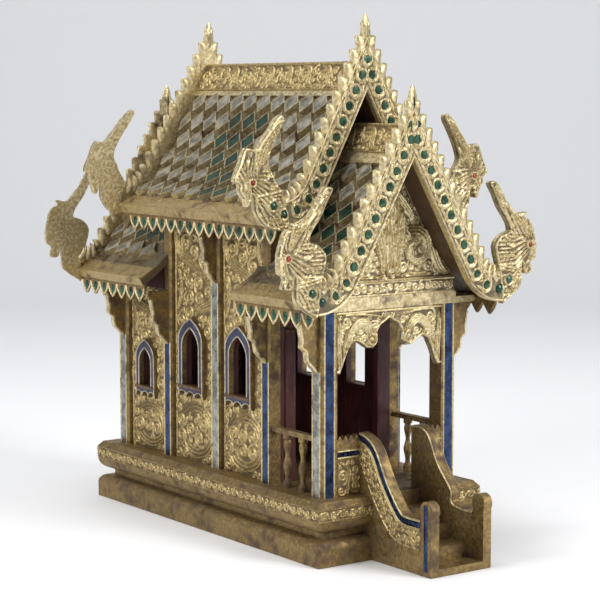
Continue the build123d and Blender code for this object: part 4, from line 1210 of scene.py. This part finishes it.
# ---------------------------------------------------------------- eave fringes
# Under every eave hangs a strip of pointed leaves sawn from thin board, painted dark red, with a gilt rim
# round each leaf and a drop of green glass in it.
finish(brown_gilt, "eave_fringes")
FRINGE_PITCH, FRINGE_INSET, LEAF_DROP = 19.5, 1.0, 20.0
fringe_eaves = {
    "upper": (upper_eave, box_mm("upper_roof_right"), UPPER),
    "front": (lower_eave, box_mm("front_roof_right"), LOWER),
    "rear": (lower_eave, box_mm("rear_roof_right"), LOWER),
}
for name, (eave, (low, high), form) in fringe_eaves.items():
    y0, y1 = low[1] + 0.3, high[1] - 0.3
    leaves = round((y1 - y0) / FRINGE_PITCH)
    pitch = (y1 - y0) / leaves
    outer = eave[0] - FRINGE_INSET
    top = eave[1] + FRINGE_INSET * math.tan(math.radians(form["end"]))
    half = stem((0.04, -4.5), (0.06, -12.5), (0.32, -15.5), (0.5, -LEAF_DROP + 0.4), 7)
    leaf = np.concatenate([half, (half * (-1, 1) + (1, 0))[-2::-1]])
    for side, sign in (("left", -1), ("right", 1)):
        face = plane("x", sign * outer, sign)
        # one leaf has come off the upper eave, at its rear end on the left
        kept = np.arange(leaves - (1 if name == "upper" and sign < 0 else 0))
        starts = y0 + kept * pitch
        line = np.concatenate([leaf * (pitch, 1) + (y, top) for y in starts])
        swept_strip(f"fringe_rim_{name}_{side}", line, 1.3, 1.4, *face)
        centres = np.stack([starts + pitch / 2, np.full(len(starts), top - 10.6)], 1)
        dome(f"fringe_drops_{name}_{side}", centres, 4.9, 6.1, 1.4, 0.3, *face, glass_stone)


# ---------------------------------------------------------------- eave brackets
# One stands out from each post and props the eave; how it is fixed there is a guess. The brackets are sawn
# boards, brown and rubbed on their flat faces, with a gilt edge.
finish(brown_gilt, "eave_brackets_left", "eave_brackets_right")
bracket_top = box_mm("eave_brackets_right")[1][2]
LOW_REACH, HIGH_REACH, BRACKET_DROP, BRACKET_THICK = 23.0, 18.0, 62.0, 6.0
edge = BRACKET_THICK / 2 + 0.5
ring = np.array([(-edge, -0.8), (-edge, 1.2), (edge, 1.2), (edge, -0.8)])  # the gilt edge's section
for side, sign in (("left", -1), ("right", 1)):
    for label, (middle, _, _) in posts.items():
        reach = HIGH_REACH if label == "third" else LOW_REACH
        foot = (bracket_top if label == "third" else low_plate - 1) - BRACKET_DROP
        steps = [(0.3, 0), (reach * 0.55, 13), (reach * 0.6, 23), (reach * 0.88, 28), (reach * 0.83, 36),
                 (reach * 0.98, 52)]
        line = walked(np.array([(post_face + u, foot + v) for u, v in steps]), 2.5)
        flat = line[:, None, :] + square_to(line)[:, None, :] * ring[:, 1:]
        points = np.stack([sign * flat[..., 0], np.broadcast_to(middle + ring[:, 0], flat.shape[:2]),
                           flat[..., 1]], -1).reshape(-1, 3)
        make_piece(f"bracket_edge_{label}_{side}", points,
                   [loft(len(line), 4, closed=True), end_caps(len(line), 4)], plain_gilt, sign < 0, crease=30)


# ---------------------------------------------------------------- room and light
# A pale seamless sweep, a large soft light from the left of the front, a weaker one from the right, and a
# glow from above.
def sweep(x0, x1, y_front, y_back, radius, height):
    """A floor that curves up into a wall behind: a quarter circle of the given radius joins them."""
    turn = np.linspace(0, math.pi / 2, 24)
    bend = np.stack([y_back + radius * np.sin(turn), radius * (1 - np.cos(turn))], 1)
    profile = np.concatenate([[(y_front, 0)], bend, [(y_back + radius, height)]])
    n = len(profile)
    points = np.concatenate([np.column_stack([np.full(n, x), profile]) for x in (x0, x1)])
    faces = np.stack([np.arange(n - 1), np.arange(n - 1) + n, np.arange(1, n) + n, np.arange(1, n)], 1)
    mesh = bpy.data.meshes.new("sweep")
    mesh.from_pydata(points.tolist(), [], faces.tolist())
    mesh.polygons.foreach_set("use_smooth", np.ones(len(faces), bool))
    return mesh


paper = bpy.data.materials.new("paper")
paper.use_nodes = True
surface = paper.node_tree.nodes["Principled BSDF"].inputs
surface["Base Color"].default_value = (0.86, 0.86, 0.87, 1)
surface["Roughness"].default_value = 0.75
floor = bpy.data.objects.new("floor", sweep(-6, 6, -4, 2.2, 1.5, 5))
floor.data.materials.append(paper)
floor.rotation_euler = (0, 0, math.radians(-35.7))
floor.location = (0, 0, -0.0004)
bpy.context.scene.collection.objects.link(floor)


def soft_light(name, place, size, power, aim=(0, 0, 0.22)):
    """A square light panel that faces the house."""
    light = bpy.data.lights.new(name, "AREA")
    light.size, light.energy = size, power
    lamp = bpy.data.objects.new(name, light)
    lamp.location = place
    away = np.array(place) - np.array(aim)
    flat = math.hypot(away[0], away[1])
    lamp.rotation_euler = (math.atan2(flat, away[2]), 0, math.atan2(away[1], away[0]) + math.pi / 2)
    bpy.context.scene.collection.objects.link(lamp)


soft_light("key", (1.0, -2.5, 1.7), 1.2, 64)
soft_light("fill", (-2.6, -0.1, 1.5), 1.2, 40)
soft_light("top", (-0.4, 0.2, 2.8), 1.4, 34)
world = bpy.data.worlds.new("studio")
world.use_nodes = True
sky = world.node_tree.nodes["Background"].inputs
sky["Color"].default_value = (0.9, 0.92, 0.95, 1)
sky["Strength"].default_value = 0.45
bpy.context.scene.world = world
bpy.context.scene.view_settings.view_transform = "Standard"
bpy.context.scene.view_settings.exposure = 0.0

lens = bpy.data.cameras.new("camera")
lens.lens, lens.sensor_width = 114.83, 36.0
lens.clip_start, lens.clip_end = 0.05, 50
camera = bpy.data.objects.new("camera", lens)
camera.location = (-1.261485, -1.798581, 0.491627)
camera.rotation_euler = (math.radians(83.849), 0, math.radians(-35.7))
bpy.context.scene.collection.objects.link(camera)
bpy.context.scene.camera = camera
